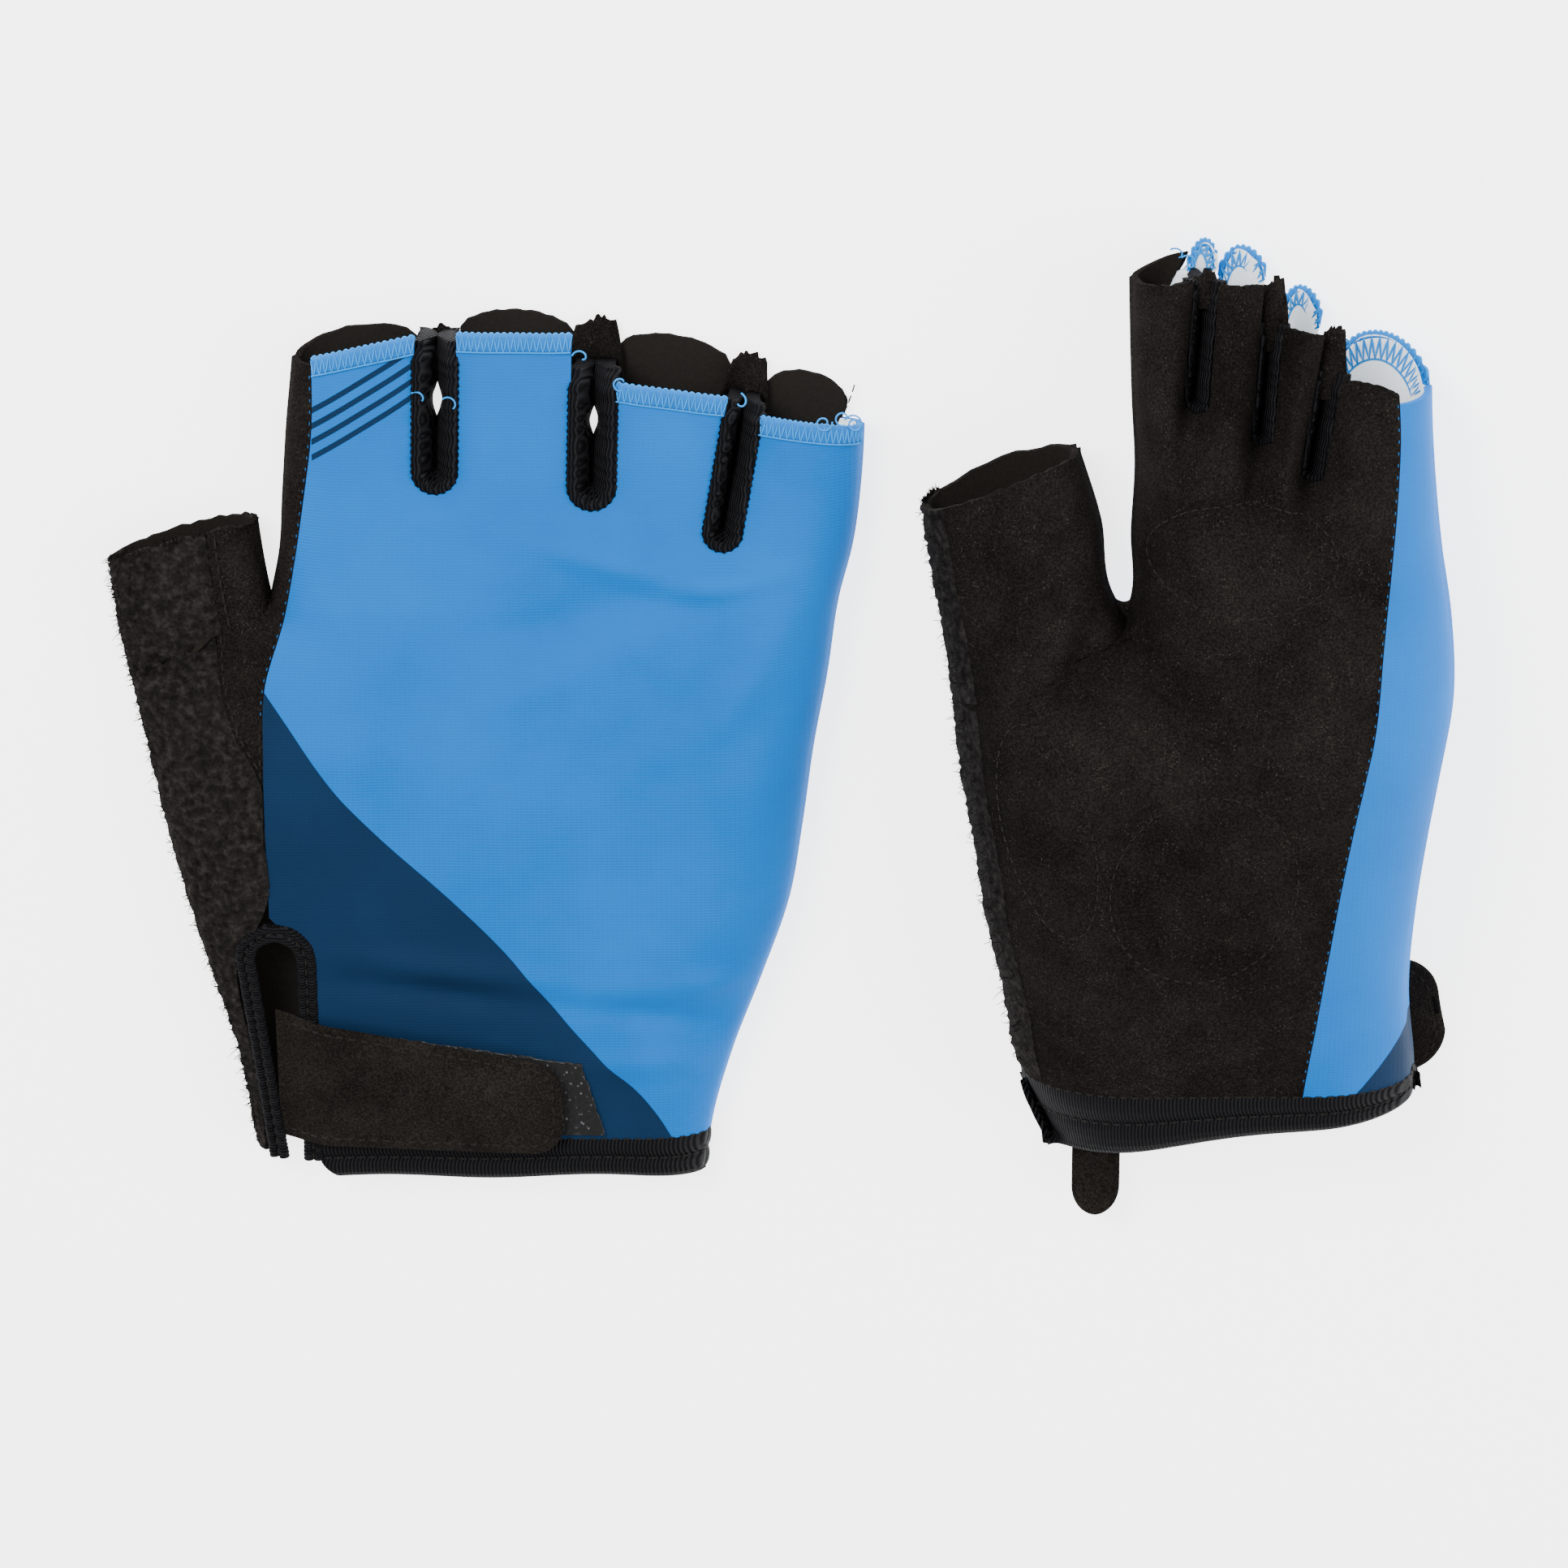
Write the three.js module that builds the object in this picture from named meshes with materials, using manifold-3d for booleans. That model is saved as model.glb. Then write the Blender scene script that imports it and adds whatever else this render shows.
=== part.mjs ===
// A pair of fingerless mitts lying on a table: the right one on its palm, the left one on its back.
// Millimetres, +Z up, +Y towards the fingertips, +X from the right mitt to the left one.
// Each mitt is two cloth layers, one over the other, that meet round the sides and stay open
// at the wrist, the thumb and the four fingertips.

import * as THREE from 'three';
import { mergeVertices } from 'three/addons/utils/BufferGeometryUtils.js';
import Module from 'manifold-3d';

const wasm = await Module();
wasm.setup();

// ---- driving dimensions ----
const CLOTH = 1.4;          // back cloth with its lining, or suede with its lining
const GAP = 0.3;            // clearance that two sewn pieces keep
const LIP = 1.2;            // half the height of the rolled side edge
const LAP = 1.2;            // how far a wrapped piece passes the side edge
const HEM = 3;              // depth of a fingertip hem
const GUSSET = 1;           // thickness of the strip between two fingers
const PAD = 3;              // foam thickness
const BINDING = 2.2;        // thickness of the wrist binding
const TAB = 1.4;            // thickness of the closure tab
const PATCH = 1.1;          // thickness of the left mitt's hook patch and loop patch
const LOOP_TAPE = 0.9;      // thickness of the right mitt's loop patch
const HOOK_TAPE = 0.5;      // thickness of the right mitt's hook patch
const PIPING = 3.6;         // width of the piping round the wrist slit
const PIPING_HEIGHT = 2.8;  // its height
const PIPING_PROUD = 1.2;   // how much of that stands over the cloth
const PAD_SEGMENTS = 10;    // sides of each quarter of a pad's outline
const FOOT = 4.6;           // height of the left wrist above the table, where the tab lies under it
const FAR = 60;             // taller than anything here, for cutting prisms

// ---- materials ----
const COLOURS = {
  blueKnit: ['#0090e0', 0.55],
  hemThread: ['#2f8fd0', 0.7],
  suede: ['#211e1b', 0.9],
  fleece: ['#2a2726', 1],
  satinRib: ['#1b1b1e', 0.5],
  loop: ['#161618', 1],
  hook: ['#121214', 0.6],
  foam: ['#4a4a4c', 0.95],
};

function clothMaterial(kind) {
  const [color, roughness] = COLOURS[kind];
  return new THREE.MeshStandardMaterial({ color, roughness, metalness: 0 });
}

// ---- the shape of each mitt: rows of [left point, right point], wrist first ----
// heights: [y, top height, radius of the upper side edge]
const RIGHT = {
  name: 'right',
  backUp: true,
  heights: [
    [-84, 11, 12], [-60, 13, 14], [-30, 16, 16], [0, 18, 17], [28, 17.5, 16], [50, 15.5, 13],
    [79, 14, 9],
  ],
  edgeShare: 0.38,
  lowerRadius: 9,
  thumbDrop: { share: 0.33, fromX: -92, toX: -106, fromY: -20, toY: 16 },
  dip: { top: 1.5, bottom: 0, reach: 6 },
  foot: [],
  side: [
    [-100, -75], [-102.3, -60], [-106.5, -45], [-110.5, -30], [-114, -15], [-117, 0], [-120, 14],
  ],
  thumbOuter: [[-120, 14], [-121.5, 22], [-122.3, 29], [-123, 35]],
  thumbInner: [[-94, 27], [-95, 32], [-95.8, 37], [-96.5, 42.5]],
  thumbSeam: [-103.4, -103.6, -104, -104],
  indexSide: [[-93.6, 28], [-92, 36], [-91, 48], [-90, 60], [-88.5, 74], [-88, 82]],
  littleSide: [[8.5, 28], [11, 38], [12.5, 50], [13, 60], [13, 66], [13, 82]],
  ulnarSide: [
    [-15, -75], [-11, -60], [-5.5, -45], [-0.5, -30], [2, -15], [4, 0], [6.5, 14], [8.5, 28],
  ],
  backSeam: [
    [-95.3, -75], [-95.3, -60], [-95.3, -45], [-95.3, -30], [-95.3, -15], [-95.3, 0], [-95, 14],
    [-90.6, 28],
  ],
  backSeamFingers: [[-90.6, 28], [-89, 36], [-87, 48], [-85, 60], [-85, 74], [-85, 82]],
  palmSeam: [
    [-36, -75], [-32, -60], [-25, -45], [-18, -30], [-15, -15], [-12.5, 0], [-8.5, 14], [-5, 28],
  ],
  palmSeamFingers: [[-5, 28], [0, 38], [5, 50], [9.5, 60], [10.5, 66], [10.5, 82]],
  fleeceInner: [
    [-98.2, -74], [-99.2, -60], [-102.4, -45], [-96, -29], [-95.8, -14], [-97.5, 0], [-103.7, 21.9],
  ],
  webLeft: [[-97.2, 0], [-99.1, 7], [-101.1, 14], [-103.3, 21.9]],
  webRight: [[-95.9, -1], [-95.8, 5], [-95.7, 12], [-91.4, 27.7]],
  gaps: [
    { top: [-62.8, 80], bottom: [-63.4, 53.3], width: 7.5 },
    { top: [-34.6, 80], bottom: [-35.4, 50.6], width: 8 },
    { top: [-6.5, 74], bottom: [-12, 42.2], width: 6.5 },
  ],
  backTips: [
    [[-92, 73], [-66.5, 77.5]], [[-59, 78], [-38.6, 77.8]], [[-30.5, 69], [-9.5, 66.4]],
    [[-4, 63], [15, 60]],
  ],
  palmTips: [
    [[-92, 74], [-66.5, 77.5]], [[-59, 79], [-38.6, 78.5]], [[-30.5, 76], [-9.5, 72.5]],
    [[-4, 69], [15, 64]],
  ],
  gussetEnds: [75.5, 70, 64],
  wristBinding: [
    [[-86, -84], [-16.5, -84]], [[-86.8, -80], [-15.5, -80]], [[-88.5, -75.3], [-15.2, -75.3]],
  ],
  padInset: CLOTH + GAP,
  slit: { x: -94.5, y: -39.3, radius: 7.5, left: [-102, -97.2], right: [-87, -87], foot: -80.5 },
  pads: {
    thumb: { x: -96, y: -12, rx: 9, ry: 20, turn: 14 },
    heel: { x: -52, y: -22, rx: 19, ry: 19, turn: -20 },
    knuckle: { x: -45, y: 38, rx: 27, ry: 8, turn: 0 },
  },
};

const LEFT = {
  name: 'left',
  backUp: false,
  heights: [
    [-73, 26, 18], [-60, 29, 20], [-30, 36, 25], [0, 40, 27], [27, 36, 24], [60, 27, 12],
    [89, 23, 8],
  ],
  edgeShare: 0.4,
  lowerRadius: 19,
  thumbDrop: { share: 0.22, fromX: 62, toX: 46, fromY: 0, toY: 40 },
  dip: { top: 5, bottom: 3.5, reach: 5 },
  foot: [-42, -30],
  side: [[43, -60], [40, -45], [36.5, -30], [34.3, -16], [31.8, -3], [30, 12]],
  thumbOuter: [[30, 12], [28.6, 22], [26.4, 33], [24.2, 46]],
  thumbInner: [[60.5, 26], [57.5, 36], [55.5, 45], [51.5, 56.5]],
  thumbSeam: [34, 32.6, 30.6, 28.8],
  indexSide: [[62, 27], [61.7, 42], [62.2, 54], [61.5, 66], [61, 78], [60.5, 94]],
  littleSide: [[118.7, 27], [116.6, 40], [115.2, 52], [114.4, 62], [114, 72], [114, 94]],
  ulnarSide: [
    [115.5, -60], [113.8, -45], [114.3, -30], [115.8, -16], [117.6, -3], [119.6, 12], [118.7, 27],
  ],
  backSeam: [[54, -60], [52, -45], [48, -30], [45, -16], [44, -3], [45, 12], [66, 27]],
  backSeamFingers: [[66, 27], [66, 42], [66, 54], [66, 66], [66, 78], [66, 94]],
  palmSeam: [[93.8, -60], [95.5, -45], [97.2, -30], [99, -16], [101, -3], [103.8, 12], [105, 27]],
  palmSeamFingers: [[105, 27], [106.3, 40], [107.3, 52], [107.6, 62], [107, 72], [107, 94]],
  fleeceInner: [
    [47.5, -60], [44.5, -45], [47.7, -30], [44.7, -16], [43.7, -3], [40, 12], [39.6, 16],
  ],
  webLeft: [[43.9, -2], [42, 7], [39.9, 16.1]],
  webRight: [[44, -2], [44, 12.3], [63.7, 26.8]],
  gaps: [
    { top: [73.6, 96], bottom: [71.9, 67.5], width: 4.5 },
    { top: [86, 96], bottom: [83.6, 61.5], width: 4 },
    { top: [97.6, 86], bottom: [92.5, 55.5], width: 4.5 },
  ],
  backTips: [
    [[58, 91.5], [71.6, 93]], [[75.8, 92], [84, 92]], [[87.8, 85], [96, 84]],
    [[99.5, 76.5], [116, 75.5]],
  ],
  palmTips: [
    [[58, 88], [71.6, 89]], [[75.8, 88.5], [84, 88.5]], [[87.8, 81], [96, 79.5]],
    [[99.5, 72], [116, 70.5]],
  ],
  gussetEnds: [87.5, 80, 71.5],
  wristBinding: [
    [[48, -72.5], [116, -67]], [[45, -66], [116, -63.5]], [[43.2, -60.3], [115.5, -60.3]],
  ],
  padInset: CLOTH + 2,
  slit: { x: 56, y: -47, radius: 7.5, left: [48.5, 48.5], right: [63.5, 63.5], foot: -59.7 },
  pads: {
    thumb: { x: 46, y: -8, rx: 7.5, ry: 20, turn: 14 },
    heel: { x: 74, y: -18, rx: 16, ry: 18, turn: -20 },
    knuckle: { x: 80, y: 41.5, rx: 16, ry: 9.5, turn: 0 },
  },
};

// ---- small maths ----
function smooth(value, from, to) {
  const t = THREE.MathUtils.clamp((value - from) / (to - from), 0, 1);
  return t * t * (3 - 2 * t);
}

// column k of a table of rows [y, a, b, ...], read at y
function readTable(rows, y, k) {
  if (y <= rows[0][0]) return rows[0][k];
  for (let i = 1; i < rows.length; i++) {
    if (y <= rows[i][0]) {
      const t = (y - rows[i - 1][0]) / (rows[i][0] - rows[i - 1][0]);
      return THREE.MathUtils.lerp(rows[i - 1][k], rows[i][k], t);
    }
  }
  return rows[rows.length - 1][k];
}

function distanceToSegment(x, y, [ax, ay], [bx, by]) {
  const length2 = (bx - ax) ** 2 + (by - ay) ** 2;
  const t = THREE.MathUtils.clamp(((x - ax) * (bx - ax) + (y - ay) * (by - ay)) / length2, 0, 1);
  return Math.hypot(x - ax - t * (bx - ax), y - ay - t * (by - ay));
}

function distanceToLine(x, y, points) {
  let nearest = Infinity;
  for (let i = 1; i < points.length; i++) {
    nearest = Math.min(nearest, distanceToSegment(x, y, points[i - 1], points[i]));
  }
  return nearest;
}

// 0 at the side edge, 1 once the layer is level
function crown(u) {
  const v = 1 - Math.min(Math.max(u, 0), 1);
  return Math.sqrt(1 - v * v);
}

// ---- the two faces of a mitt ----
function sideDistance(mitt, x, y) {
  const edges = [mitt.side, mitt.thumbOuter, mitt.thumbInner, mitt.indexSide, mitt.littleSide, mitt.ulnarSide];
  return Math.min(...edges.map((edge) => distanceToLine(x, y, edge)));
}

function gapDistance(mitt, x, y) {
  const distances = mitt.gaps.map((gap) => distanceToSegment(x, y, gap.top, gap.bottom) - gap.width / 2);
  return Math.max(Math.min(...distances), 0);
}

function fullHeight(mitt, x, y) {
  const { share, fromX, toX, fromY, toY } = mitt.thumbDrop;
  const drop = share * smooth(-x, -fromX, -toX) * smooth(y, fromY, toY);
  return readTable(mitt.heights, y, 1) * (1 - drop);
}

function edgeHeight(mitt, x, y) {
  return mitt.edgeShare * fullHeight(mitt, x, y);
}

// height of the upper or lower face, moved inwards by inset, or outwards where inset is negative
function faceHeight(mitt, upper, x, y, inset) {
  const middle = edgeHeight(mitt, x, y);
  const distance = sideDistance(mitt, x, y) - Math.max(inset, 0);
  const nearGap = 1 - Math.min(gapDistance(mitt, x, y) / mitt.dip.reach, 1);
  if (upper) {
    const rise = fullHeight(mitt, x, y) - inset - middle - LIP;
    const radius = readTable(mitt.heights, y, 2);
    return middle + LIP + rise * crown(distance / radius) - mitt.dip.top * nearGap ** 2;
  }
  const foot = mitt.foot.length ? FOOT * (1 - smooth(y, ...mitt.foot)) : 0;
  const fall = middle - LIP - inset - foot;
  return middle - LIP - fall * crown(distance / mitt.lowerRadius) + mitt.dip.bottom * nearGap ** 2;
}

// ---- solids ----
function toManifold(geometry) {
  const plain = geometry.clone();
  plain.deleteAttribute('normal');
  plain.deleteAttribute('uv');
  const merged = mergeVertices(plain, 1e-4);
  return new wasm.Manifold(new wasm.Mesh({
    numProp: 3,
    vertProperties: new Float32Array(merged.attributes.position.array),
    triVerts: new Uint32Array(merged.index.array),
  }));
}

function toGeometry(solid) {
  const { vertProperties, triVerts } = solid.getMesh();
  const geometry = new THREE.BufferGeometry();
  geometry.setAttribute('position', new THREE.BufferAttribute(new Float32Array(vertProperties), 3));
  geometry.setIndex(new THREE.BufferAttribute(new Uint32Array(triVerts), 1));
  return geometry;
}

// a closed slab over a net of points: net[i][j] is [x, y], low and high give the heights there
function slab(net, low, high) {
  const rows = net.length;
  const columns = net[0].length;
  const positions = [];
  for (const level of [low, high]) {
    for (const row of net) {
      for (const [x, y] of row) positions.push(x, y, level(x, y));
    }
  }
  const at = (layer, i, j) => layer * rows * columns + i * columns + j;
  const index = [];
  const quad = (a, b, c, d) => index.push(a, b, c, a, c, d);
  for (let i = 0; i < rows - 1; i++) {
    for (let j = 0; j < columns - 1; j++) {
      quad(at(1, i, j), at(1, i, j + 1), at(1, i + 1, j + 1), at(1, i + 1, j));
      quad(at(0, i, j), at(0, i + 1, j), at(0, i + 1, j + 1), at(0, i, j + 1));
    }
  }
  for (let j = 0; j < columns - 1; j++) {
    quad(at(0, 0, j), at(0, 0, j + 1), at(1, 0, j + 1), at(1, 0, j));
    quad(at(0, rows - 1, j + 1), at(0, rows - 1, j), at(1, rows - 1, j), at(1, rows - 1, j + 1));
  }
  for (let i = 0; i < rows - 1; i++) {
    quad(at(0, i + 1, 0), at(0, i, 0), at(1, i, 0), at(1, i + 1, 0));
    quad(at(0, i, columns - 1), at(0, i + 1, columns - 1), at(1, i + 1, columns - 1), at(1, i, columns - 1));
  }
  const geometry = new THREE.BufferGeometry();
  geometry.setAttribute('position', new THREE.Float32BufferAttribute(positions, 3));
  geometry.setIndex(index);
  return toManifold(geometry);
}

// rows of points between two lines, closer together towards the lines that are side edges
function netBetween(left, right, columns, leftEdge, rightEdge) {
  const share = (t) => {
    if (leftEdge && rightEdge) return 0.5 - 0.5 * Math.cos(Math.PI * t);
    if (leftEdge) return 1 - Math.cos(Math.PI * t / 2);
    if (rightEdge) return Math.sin(Math.PI * t / 2);
    return t;
  };
  return left.map(([lx, ly], i) => {
    const [rx, ry] = right[i];
    const row = [];
    for (let j = 0; j <= columns; j++) {
      const t = share(j / columns);
      row.push([lx + (rx - lx) * t, ly + (ry - ly) * t]);
    }
    return row;
  });
}

// one cloth layer of a mitt. lap(x) carries its side edge past the middle height, to join a wrap
function layer(mitt, net, upper, { outer = 0, thickness = CLOTH, lap = () => -GAP / 2 } = {}) {
  const sign = upper ? 1 : -1;
  const outside = (x, y) => faceHeight(mitt, upper, x, y, outer);
  const inside = (x, y) => {
    const inset = outer + thickness;
    const atEdge = sideDistance(mitt, x, y) < inset;
    const level = atEdge
      ? edgeHeight(mitt, x, y) - sign * lap(x)
      : faceHeight(mitt, upper, x, y, inset);
    const thinnest = outside(x, y) - sign * 0.6;
    return upper ? Math.min(level, thinnest) : Math.max(level, thinnest);
  };
  return upper ? slab(net, inside, outside) : slab(net, outside, inside);
}

function prism(shape, low, high, curveSegments = 6) {
  const options = { depth: high - low, bevelEnabled: false, curveSegments };
  const geometry = new THREE.ExtrudeGeometry(shape, options);
  geometry.translate(0, 0, low);
  return toManifold(geometry);
}

function shapeOf(points) {
  return new THREE.Shape(points.map(([x, y]) => new THREE.Vector2(x, y)));
}

const shiftX = (line, dx) => line.map(([x, y]) => [x + dx, y]);
const shiftEnds = (line, first, last) => line.map(([x, y], i) => {
  if (i === 0) return [x, y + first];
  return [x, i === line.length - 1 ? y + last : y];
});

// ---- outlines ----
// the slot between two fingers, made smaller all round by margin
function gapOutline(gap, margin) {
  const [tx, ty] = gap.top;
  const [bx, by] = gap.bottom;
  const half = gap.width / 2 - margin;
  const lean = Math.atan2(tx - bx, ty - by);
  const nx = Math.cos(lean) * half;
  const ny = -Math.sin(lean) * half;
  const points = [[tx - nx, ty - ny], [bx - nx, by - ny]];
  for (let k = 1; k < 6; k++) {
    const a = Math.PI - lean + (Math.PI * k) / 6;
    points.push([bx + half * Math.cos(a), by + half * Math.sin(a)]);
  }
  points.push([bx + nx, by + ny], [tx + nx, ty + ny]);
  return points;
}

// the area of the four fingers, cut off at the tips and open at the slots between them
function fingerArea(mitt, tips, cutBack) {
  const fold = mitt.indexSide[0][1];
  const points = [[mitt.indexSide[0][0] - 20, fold - 10]];
  points.push([tips[0][0][0], tips[0][0][1] - cutBack]);
  tips.forEach(([start, end], i) => {
    if (i > 0) points.push([start[0], start[1] - cutBack]);
    points.push([end[0], end[1] - cutBack]);
  });
  points.push([mitt.littleSide[0][0] + 20, fold - 10]);
  let area = prism(shapeOf(points.reverse()), -FAR, FAR);
  for (const gap of mitt.gaps) {
    area = area.subtract(prism(shapeOf(gapOutline(gap, 0)), -FAR, FAR));
  }
  return area;
}

function slitOutline(slit, margin) {
  const { x, y, radius, left, right, foot } = slit;
  const r = radius + margin;
  const points = [[left[1] - margin, foot - margin], [left[0] - margin, y]];
  for (let k = 1; k < 8; k++) {
    const a = Math.PI - (Math.PI * k) / 8;
    points.push([x + r * Math.cos(a), y + r * Math.sin(a)]);
  }
  points.push([right[0] + margin, y], [right[1] + margin, foot - margin]);
  return points.reverse();
}

function ellipseShape({ x, y, rx, ry, turn }) {
  const shape = new THREE.Shape();
  shape.absellipse(x, y, rx, ry, 0, 2 * Math.PI, false, THREE.MathUtils.degToRad(turn));
  return shape;
}

function roundEndedTab(root, tip, cornerRadius) {
  const [[x0, low], [x1, high]] = root;
  const [[x2, top], [x3, bottom]] = tip;
  const r = cornerRadius;
  const shape = new THREE.Shape();
  shape.moveTo(x0, low);
  shape.lineTo(x3 - r, bottom);
  shape.quadraticCurveTo(x3, bottom, x3, bottom + r);
  shape.lineTo(x2, top - r);
  shape.quadraticCurveTo(x2, top, x2 - r, top);
  shape.lineTo(x1, high);
  return shape;
}

// ---- the pieces ----
const group = new THREE.Group();

function addPiece(name, solid, kind) {
  const mesh = new THREE.Mesh(toGeometry(solid), clothMaterial(kind));
  mesh.name = name;
  group.add(mesh);
}

function addBackAndPalm(mitt) {
  const up = mitt.backUp;
  const half = GAP / 2;
  const { name } = mitt;
  const slitHole = slitHolePrism(mitt);

  const handBack = netBetween(
    shiftEnds(shiftX(mitt.backSeam, half), 0, -half), shiftEnds(mitt.ulnarSide, 0, -half), 9, false, true);
  const handBackWrap = netBetween(
    shiftEnds(shiftX(mitt.palmSeam, half), 0, -half), shiftEnds(mitt.ulnarSide, 0, -half), 3, false, true);
  const back = layer(mitt, handBack, up, { lap: () => LAP }).subtract(slitHole);
  addPiece(`${name}_back_hand`, back.add(layer(mitt, handBackWrap, !up, { lap: () => LAP })), 'blueKnit');

  const fingerBack = netBetween(
    shiftEnds(shiftX(mitt.backSeamFingers, half), half, 0), shiftEnds(mitt.littleSide, half, 0), 12, false, true);
  const fingerBackWrap = netBetween(
    shiftEnds(shiftX(mitt.palmSeamFingers, half), half, 0), shiftEnds(mitt.littleSide, half, 0), 2, false, true);
  const backFingers = layer(mitt, fingerBack, up, { lap: () => LAP });
  const backArea = fingerArea(mitt, mitt.backTips, HEM + GAP);
  const wrapped = backFingers.add(layer(mitt, fingerBackWrap, !up, { lap: () => LAP }));
  addPiece(`${name}_back_fingers`, wrapped.intersect(backArea), 'blueKnit');

  addHems(mitt, backFingers);

  const palmNet = palmHandNet(mitt, half);
  addPiece(`${name}_palm_hand`, layer(mitt, palmNet, !up), 'suede');

  const palmFingerNet = netBetween(
    shiftEnds(mitt.indexSide, half, 0), shiftEnds(shiftX(mitt.palmSeamFingers, -half), half, 0), 12, true, false);
  const indexWrap = netBetween(
    shiftEnds(mitt.indexSide, half, 0), shiftEnds(shiftX(mitt.backSeamFingers, -half), half, 0), 2, true, false);
  const palmFingers = layer(mitt, palmFingerNet, !up, { lap: () => LAP })
    .add(layer(mitt, indexWrap, up, { lap: () => LAP }));
  const palmArea = fingerArea(mitt, mitt.palmTips, 0);
  addPiece(`${name}_palm_fingers`, palmFingers.intersect(palmArea), 'suede');
}

// the palm follows the side to the thumb, then the thumb's fold line to the crotch
function palmHandNet(mitt, half) {
  const left = mitt.side.slice(0, -1);
  const [foldX, foldY] = mitt.thumbOuter[0];
  const [crotchX, crotchY] = mitt.thumbInner[0];
  left.push([foldX, foldY - half]);
  left.push([crotchX, crotchY - half]);
  return netBetween(left, shiftEnds(shiftX(mitt.palmSeam, -half), 0, -half), 10, true, false);
}

function slitHolePrism(mitt) {
  const outline = slitOutline(mitt.slit, GAP);
  const hole = prism(shapeOf(outline), -FAR, FAR);
  const { x, y, foot, radius } = mitt.slit;
  const [low, outer, inner] = [foot - radius * 4, x - radius * 4, x + radius / 2];
  const beside = shapeOf([[outer, low], [inner, low], [inner, y], [outer, y]]);
  return hole.add(prism(beside, -FAR, FAR));
}

function addHems(mitt, backFingers) {
  const fingers = ['index', 'middle', 'ring', 'little'];
  mitt.backTips.forEach(([start, end], i) => {
    const band = shapeOf([[start[0], start[1] - HEM], [end[0], end[1] - HEM], end, start]);
    const slots = mitt.gaps.map((gap) => prism(shapeOf(gapOutline(gap, 0)), -FAR, FAR));
    let hem = backFingers.intersect(prism(band, -FAR, FAR));
    for (const slot of slots) hem = hem.subtract(slot);
    addPiece(`${mitt.name}_hem_${fingers[i]}`, hem, 'hemThread');
  });
}

function addThumb(mitt) {
  const up = mitt.backUp;
  const half = GAP / 2;
  const outer = shiftEnds(mitt.thumbOuter, half, 0);
  const inner = shiftEnds(mitt.thumbInner, half, 0);
  const onRow = (x, i) => {
    const t = (x - outer[i][0]) / (inner[i][0] - outer[i][0]);
    return [x, outer[i][1] + t * (inner[i][1] - outer[i][1])];
  };
  const seamLeft = mitt.thumbSeam.map((x, i) => onRow(x - half, i));
  const seamRight = mitt.thumbSeam.map((x, i) => onRow(x + half, i));
  const fleece = layer(mitt, netBetween(outer, seamLeft, 4, true, false), up);
  addPiece(`${mitt.name}_thumb_fleece`, fleece, 'fleece');
  const joinInside = (x) => (x > mitt.thumbSeam[0] ? LAP : -GAP / 2);
  const under = layer(mitt, netBetween(outer, inner, 7, true, true), !up, { lap: joinInside });
  const over = layer(mitt, netBetween(seamRight, inner, 4, false, true), up, { lap: () => LAP });
  addPiece(`${mitt.name}_thumb_suede`, under.add(over), 'suede');

  const side = netBetween(mitt.side, mitt.fleeceInner, 4, true, false);
  const slitPrism = prism(shapeOf(slitOutline(mitt.slit, GAP)), -FAR, FAR);
  addPiece(`${mitt.name}_side_fleece`, layer(mitt, side, up).subtract(slitPrism), 'fleece');
  const web = netBetween(mitt.webLeft, mitt.webRight, 3, false, false);
  addPiece(`${mitt.name}_thumb_web`, layer(mitt, web, up), 'suede');
}

function addGussets(mitt) {
  const names = ['index_middle', 'middle_ring', 'ring_little'];
  mitt.gaps.forEach((gap, i) => {
    const outside = prism(shapeOf(gapOutline(gap, GAP)), -FAR, FAR);
    const inside = prism(shapeOf(gapOutline(gap, GAP + GUSSET)), -FAR, FAR);
    const reach = gap.width / 2 + 2;
    const xs = [gap.bottom[0] - reach, gap.bottom[0] + reach + Math.abs(gap.top[0] - gap.bottom[0])];
    const ys = [gap.bottom[1] - reach, (gap.bottom[1] + mitt.gussetEnds[i]) / 2, mitt.gussetEnds[i]];
    const net = ys.map((y) => [0, 0.25, 0.5, 0.75, 1].map((t) => [xs[0] + (xs[1] - xs[0]) * t, y]));
    const low = (x, y) => faceHeight(mitt, false, x, y, 0.2);
    const high = (x, y) => faceHeight(mitt, true, x, y, 0.2);
    const wall = outside.subtract(inside).intersect(slab(net, low, high));
    addPiece(`${mitt.name}_gusset_${names[i]}`, wall, 'satinRib');
  });
}

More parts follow.
